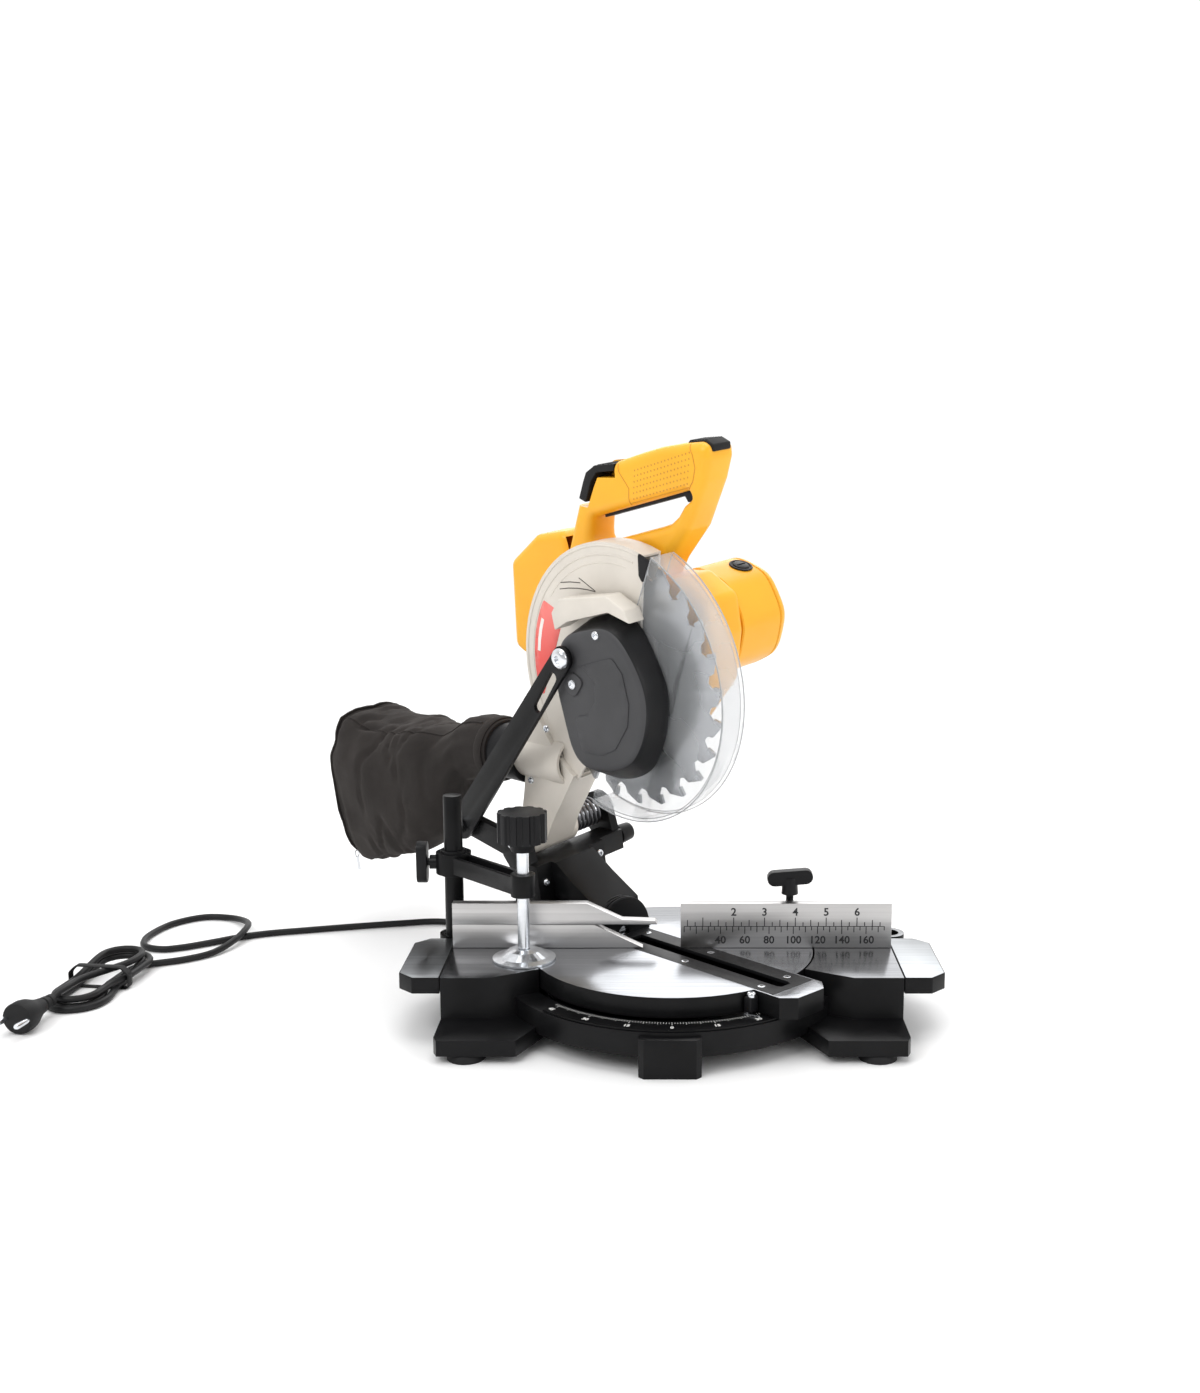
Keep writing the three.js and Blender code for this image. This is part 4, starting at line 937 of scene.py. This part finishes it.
def make_clear_guard():
    guard = polish("lower_guard", "clear", 0.35)
    # painted highlight: faces of the rim band get the more opaque, milky clear material
    guard.data.materials.append(M["clear_rim_highlight"])
    paint(guard, HEAD, 1, lambda c: hypot(c.y - BLADE[0], c.z - BLADE[1]) > RIM_IN)
    # grey, semi-opaque lines along the guard's edges: painted shade where the clear edges are seen edge-on
    edges = []
    for x in (-12.0, 12.0):
        edges.append(sweep(arc(RIM_OUT, *GUARD_ENDS, x, 72), 0.5, 8))
        edges.append(sweep(arc(RIM_IN, *GUARD_ENDS, x * 0.86, 72), 0.3, 6))
    for x, reach in ((-11.6, (46, 70, 95, 114)), (11.6, (30, 60, 90, 114))):
        edges.append(sweep([blade_point(r, GUARD_ENDS[1], x) for r in reach], 0.5, 8))
    piece("guard_edge_shade_lines", edges, HEAD, "clear_edge", "guard", 60)
    tab = pillow(fillet(flat([(113, 62), (113, 69), (96, 66), (92, 62.5)]), 2, 3), [], -12.4, -10.7, 0.6, 2.5)
    piece("guard_stop", tab, HEAD, "black_plastic", "guard", 35)


# ---- fixed guard trims
def make_guard_trim():
    ridges = ((109.2, 68, 235, -9.0, 1.25), (102.2, 72, 205, -9.0, 1.15), (95.5, 76, 138, -9.1, 0.8))
    lines = [sweep(arc(r, a0, a1, x), thick, 8) for r, a0, a1, x, thick in ridges]
    piece("guard_ridges", lines, HEAD, "cast_grey", "head", 60)
    mark = [sweep([(-9.5, y, z) for y, z in line], 0.42, 6) for line in (
        [(80, 299), (69, 300.4), (58, 300.9), (47, 300.6), (37, 299.5)], [(55, 309.5), (37, 299.8)],
        [(78, 304.5), (66, 305.6), (54, 305.6)])]
    piece("turning_arrow", mark, HEAD, "bead", "head", 60)
    wedge = flat([(100.4, a) for a in range(143, 193, 3)] + [(96, 193), (75, 139)])
    patch = pillow(fillet(wedge, 2, 3), [], -9.72, -9.45, 0.12, 6)
    piece("red_patch", patch, HEAD, "label", "head", 50)
    across = (152, 158, 164, 170)
    stripe = flat([(96.5, a) for a in across] + [(93, a) for a in across[::-1]])
    piece("label_stripe", slab(stripe, -9.8, -9.7), HEAD, "label_pale", "head", 50)


# ---- return spring
def make_spring():
    turns, start, end, steps = 6, 27.6, 56.4, 28
    path = []
    for k in range(turns * steps + 1):
        a, x = 2 * pi * k / steps, start + (end - start) * k / (turns * steps)
        path.append((x, 148 + 12 * cos(a), 78 + 12 * sin(a)))
    piece("return_spring_wire", sweep(path, 1.5, 10), HEAD, "dark_steel", "bevel_arm", 60,
          ["return_spring"])


# ---- blade tips
def make_tips():
    parts = []
    for k in range(TEETH):
        a = 360 / TEETH * k
        corners = [(104.9, a), (104.6, a + 1.7), (97.2, a + 2.0), (97.0, a + 0.35)]
        parts.append(slab(flat(corners), -1.15, 1.15))
    piece("carbide_tips", parts, HEAD, "carbide", "blade", 30)


# ---- dust bag
BAG_ROWS = [   # y, height of the middle, half width, half height
    (188, 145, 26.4, 26.4), (190, 145, 27.6, 27.6), (215, 144.5, 28.6, 28.6), (232, 140, 30, 30),
    (246, 126, 34, 36), (260, 114, 38, 43), (278, 106, 44, 53), (300, 98, 48, 60), (350, 89, 51, 71),
    (395, 84, 50, 76), (408, 84, 47.5, 74), (413, 84, 42, 68)]
BAG_NECK = 237     # y where the neck ends
BAG_LENGTH = 176
BAG_STEPS = 120


def bag_point(y, mid, wide, tall, t):
    """The cloth at an angle t: rounder at the neck, with gathers there, then folds, creases and sag."""
    f = max(0, y - BAG_NECK) / BAG_LENGTH
    c, s = cos(t), sin(t)
    power = 0.95 - 0.33 * min(1, f * 2.5)
    x = wide * copysign(abs(c) ** power, c)
    z = tall * copysign(abs(s) ** power, s)
    fold = 1.3 * exp(-((y - 226) / 24) ** 2) * sin(11 * t + 1.3)
    fold += 2.6 * sin(2.2 * t + y * 0.055) * exp(-((f - 0.45) / 0.3) ** 2)
    spot = Vector((x * 0.021, y * 0.016, z * 0.021))
    fold += 4.2 * (noise.fractal(spot, 1.0, 2.1, 4) - 0.15) * min(1, f * 3)
    crease = noise.noise(Vector((x * 0.03 + 7, y * 0.045, z * 0.012 + 3)))
    fold -= 3.4 * max(0, 0.16 - abs(crease)) / 0.16 * min(1, f * 3)
    sag = 0.05 * tall * sin(pi * min(1, f * 1.05)) * (1 if s > 0 else 0.3)
    scale = 1 + fold / 60
    return (x * scale, y, mid + z * scale - sag)


def make_bag():
    ys = [r[0] for r in BAG_ROWS]
    loops = []
    for y in [*np.linspace(188, 400, 54), 403, 406, 408.5, 410.5, 412, 413]:
        size = [float(np.interp(y, ys, [r[j] for r in BAG_ROWS])) for j in (1, 2, 3)]
        loops.append([bag_point(y, *size, t) for t in circle(BAG_STEPS)])
    bag = piece("dust_bag_cloth", rings(loops), HEAD, "cloth", "head", 70, ["dust_bag"])
    mid, proud = 84, 1.012
    piping = sweep([(x * proud, y, mid + (z - mid) * proud) for x, y, z in loops[-5]], 1.3, 8, closed=True)
    along = sweep([Vector(loop[BAG_STEPS // 4 + 8]) + Vector((0, 0, 0.3)) for loop in loops[4:-3]], 0.8, 6)
    piece("bag_seams", [piping, along], HEAD, "cloth", "head", 60)
    neck = [(26.4, 191), (28.6, 190.6), (29.3, 192), (29.4, 199), (28.8, 200.6), (26.4, 200.4)]
    piece("bag_neck_band", lathe_ring(neck, (0, 0, 145), "Y"), HEAD, "cloth", "head", 50)


# ---- rulers and scales
def number(text, size):
    """Flat numerals as (points, faces), centred, in mm in the plane z = 0."""
    curve = bpy.data.curves.new("numeral", "FONT")
    curve.body = text
    curve.size = size
    curve.align_x, curve.align_y = "CENTER", "CENTER"
    curve.extrude = 0.06
    curve.offset = 0.2
    curve.resolution_u = 3
    obj = link(bpy.data.objects.new("numeral", curve))
    bpy.context.view_layer.update()
    shape = evaluated(obj)
    bpy.data.objects.remove(obj)
    return shape


def placed(part, matrix):
    return [tuple(matrix @ Vector(p)) for p in part[0]], part[1]


FENCE_FACE = (-0.07, 0.05)    # y
RULER_MID, MARK_HALF = 70.6, 0.38
SCALE_R = 120.6


def height(k, long, middle, short, steps):
    """How tall a mark is: long at every steps[0], middle at every steps[1], else short."""
    return long if k % steps[0] == 0 else (middle if k % steps[1] == 0 else short)


def mark(x, low, high):
    return block(x - MARK_HALF, x + MARK_HALF, *FENCE_FACE, low, high)


def make_ruler():
    marks = [block(10, 175, *FENCE_FACE, 70.3, 70.9)]
    for k in range(2, 28):
        marks.append(mark(INCH * k / 4, RULER_MID, RULER_MID + height(k, 7.5, 5.5, 3.6, (4, 2))))
    for k in range(2, 36):
        marks.append(mark(5 * k, RULER_MID - height(k, 6.5, 5, 3.4, (4, 2)), RULER_MID))
    stand = Matrix.Rotation(radians(90), 4, "X")
    labels = [(n, INCH * n, 82.6, 9.2) for n in range(2, 7)] + [(n, n, 58.8, 9.0) for n in range(40, 161, 20)]
    for n, x, z, size in labels:
        marks.append(placed(number(str(n), size), Matrix.Translation((x, -0.02, z)) @ stand))
    piece("fence_ruler", marks, SAW, "ink", "base", 60)
    marks = []
    for deg in range(-47, 48):
        tall = height(deg, 5.5, 4.2, 2.6, (15, 5))
        turn = Matrix.Rotation(radians(deg), 4, "Z")
        marks.append(placed(block(-0.18, 0.18, -SCALE_R - tall, -SCALE_R, 34.42, 34.62), turn))
    for deg in range(-45, 46, 15):
        turn = Matrix.Rotation(radians(deg), 4, "Z") @ Matrix.Translation((0, -130.8, 34.55))
        marks.append(placed(number(str(abs(deg)), 5.2), turn))
    piece("mitre_marks", marks, SAW, "white_ink", "base", 60)


# ---- small fixings
def screws(name, places, axis, r, h, where, body, sign=1):
    """A piece of steel screws."""
    piece(name, [screw(p, axis, r, h, sign) for p in places], where, "steel", body, 35)


def make_fixings():
    screws("fence_bolts", [(x, 24, 60.2) for x in (-150, -132, 132, 150)], "Z", 4.6, 3.6, SAW, "base")
    screws("kerf_screws", [(x, y, -0.35) for x in (-15, 15) for y in (-112, -30, 44)], "Z", 3.2, 0.5, TABLE,
           "turntable")
    screws("bevel_stop_screws", [(x, 118.2, z) for x, z in ((-30, 24), (-30, 44), (33, 30), (33, 50))], "Y",
           3.4, 3.2, HEAD, "bevel_arm", -1)
    drum = []
    for y in (59, 62.5, 66, 69.5, 73, 76.5):
        drum.append(sweep([(30.2 * cos(a), y, 30.2 * sin(a)) for a in circle(60)], 0.8, 8, True))
    piece("bevel_drum_rings", drum, HEAD, "black_plastic", "bevel_arm", 60)
    side = fillet([(-119, -15), (-112.6, -15), (-112.6, -3), (-119, -3)], 1, 3)
    side = pillow(side, [], -35.5, -26.5, 0.8, 2.5)
    piece("pointer_block", side, TABLE, "black_plastic", "turntable", 35)
    screws("pointer_screw", [(-31, -116, -3.1)], "Z", 3.6, 3.4, TABLE, "turntable")
    screws("casting_screws", [(-13.9, y, z) for y, z in ((112, 178), (141, 128), (150, 92))], "X", 3.4, 2.2,
           HEAD, "head", -1)
    collar = lathe_ring([(17.8, 97), (20.4, 97), (21.4, 98.5), (21.4, 113), (17.8, 113)], (0, 0, 147), "Y")
    collar = carve(collar, [block(-9.7, 40, 90, 120, 120, 175)])
    piece("port_collar", collar, HEAD, "cast_grey", "head", 35)
    ring = [(-34 + 2.2 * cos(a), 409.5, 14 + 3.4 * sin(a)) for a in circle(16)]
    pull = [sweep(ring, 0.6, 6, closed=True), block(-35.4, -32.6, 408.9, 410.1, -3, 11)]
    piece("zip_pull", pull, HEAD, "steel", "head", 40)


for make in (make_handle, make_housings, make_cover, make_clear_guard, make_guard_trim, make_spring, make_tips,
             make_bag, make_ruler, make_fixings):
    make()


# ---- floor and light
FLOOR_R = 2.35   # m
LAMPS = {        # place, size in m, watts
    "key": ((-1.3, -1.5, 1.9), 1.3, 26), "fill": ((1.7, -1.2, 1.1), 1.2, 12),
    "back": ((0.3, 2.0, 1.6), 1.8, 17), "top": ((0.1, 0.1, 2.2), 1.2, 14),
}
LAMPS_AIM = Vector((0.05, 0, 0.2))


def make_studio():
    floor = bpy.data.meshes.new("floor")
    rim = [(FLOOR_R * cos(a), FLOOR_R * sin(a), 0) for a in circle(96)]
    floor.from_pydata(rim, [], [list(range(96))])
    look = Look("studio_floor", (0.93, 0.93, 0.93), 0.6)
    look.tint(look.noise(3, 2), 0.995, 1.005)
    floor.materials.append(look.mat)
    plane = link(bpy.data.objects.new("floor", floor))
    world = bpy.data.worlds.new("studio")
    world.use_nodes = True
    nodes, links = world.node_tree.nodes, world.node_tree.links
    nodes["Background"].inputs["Color"].default_value = (1, 1, 1, 1)
    coords, split = nodes.new("ShaderNodeTexCoord"), nodes.new("ShaderNodeSeparateXYZ")
    band = nodes.new("ShaderNodeMapRange")
    for key, value in {"From Min": -0.35, "From Max": 0.25, "To Min": 0.6, "To Max": 1.04}.items():
        band.inputs[key].default_value = value
    links.new(coords.outputs["Generated"], split.inputs["Vector"])
    links.new(split.outputs["Y"], band.inputs["Value"])
    links.new(band.outputs["Result"], nodes["Background"].inputs["Strength"])
    bpy.context.scene.world = world
    for name, (spot, size, power) in LAMPS.items():
        data = bpy.data.lights.new(name, "AREA")
        data.size = size
        data.energy = power
        lamp = link(bpy.data.objects.new(name, data))
        lamp.location = spot
        lamp.rotation_euler = (LAMPS_AIM - Vector(spot)).to_track_quat("-Z", "Y").to_euler()
    bpy.context.scene.view_settings.view_transform = "Standard"


make_studio()
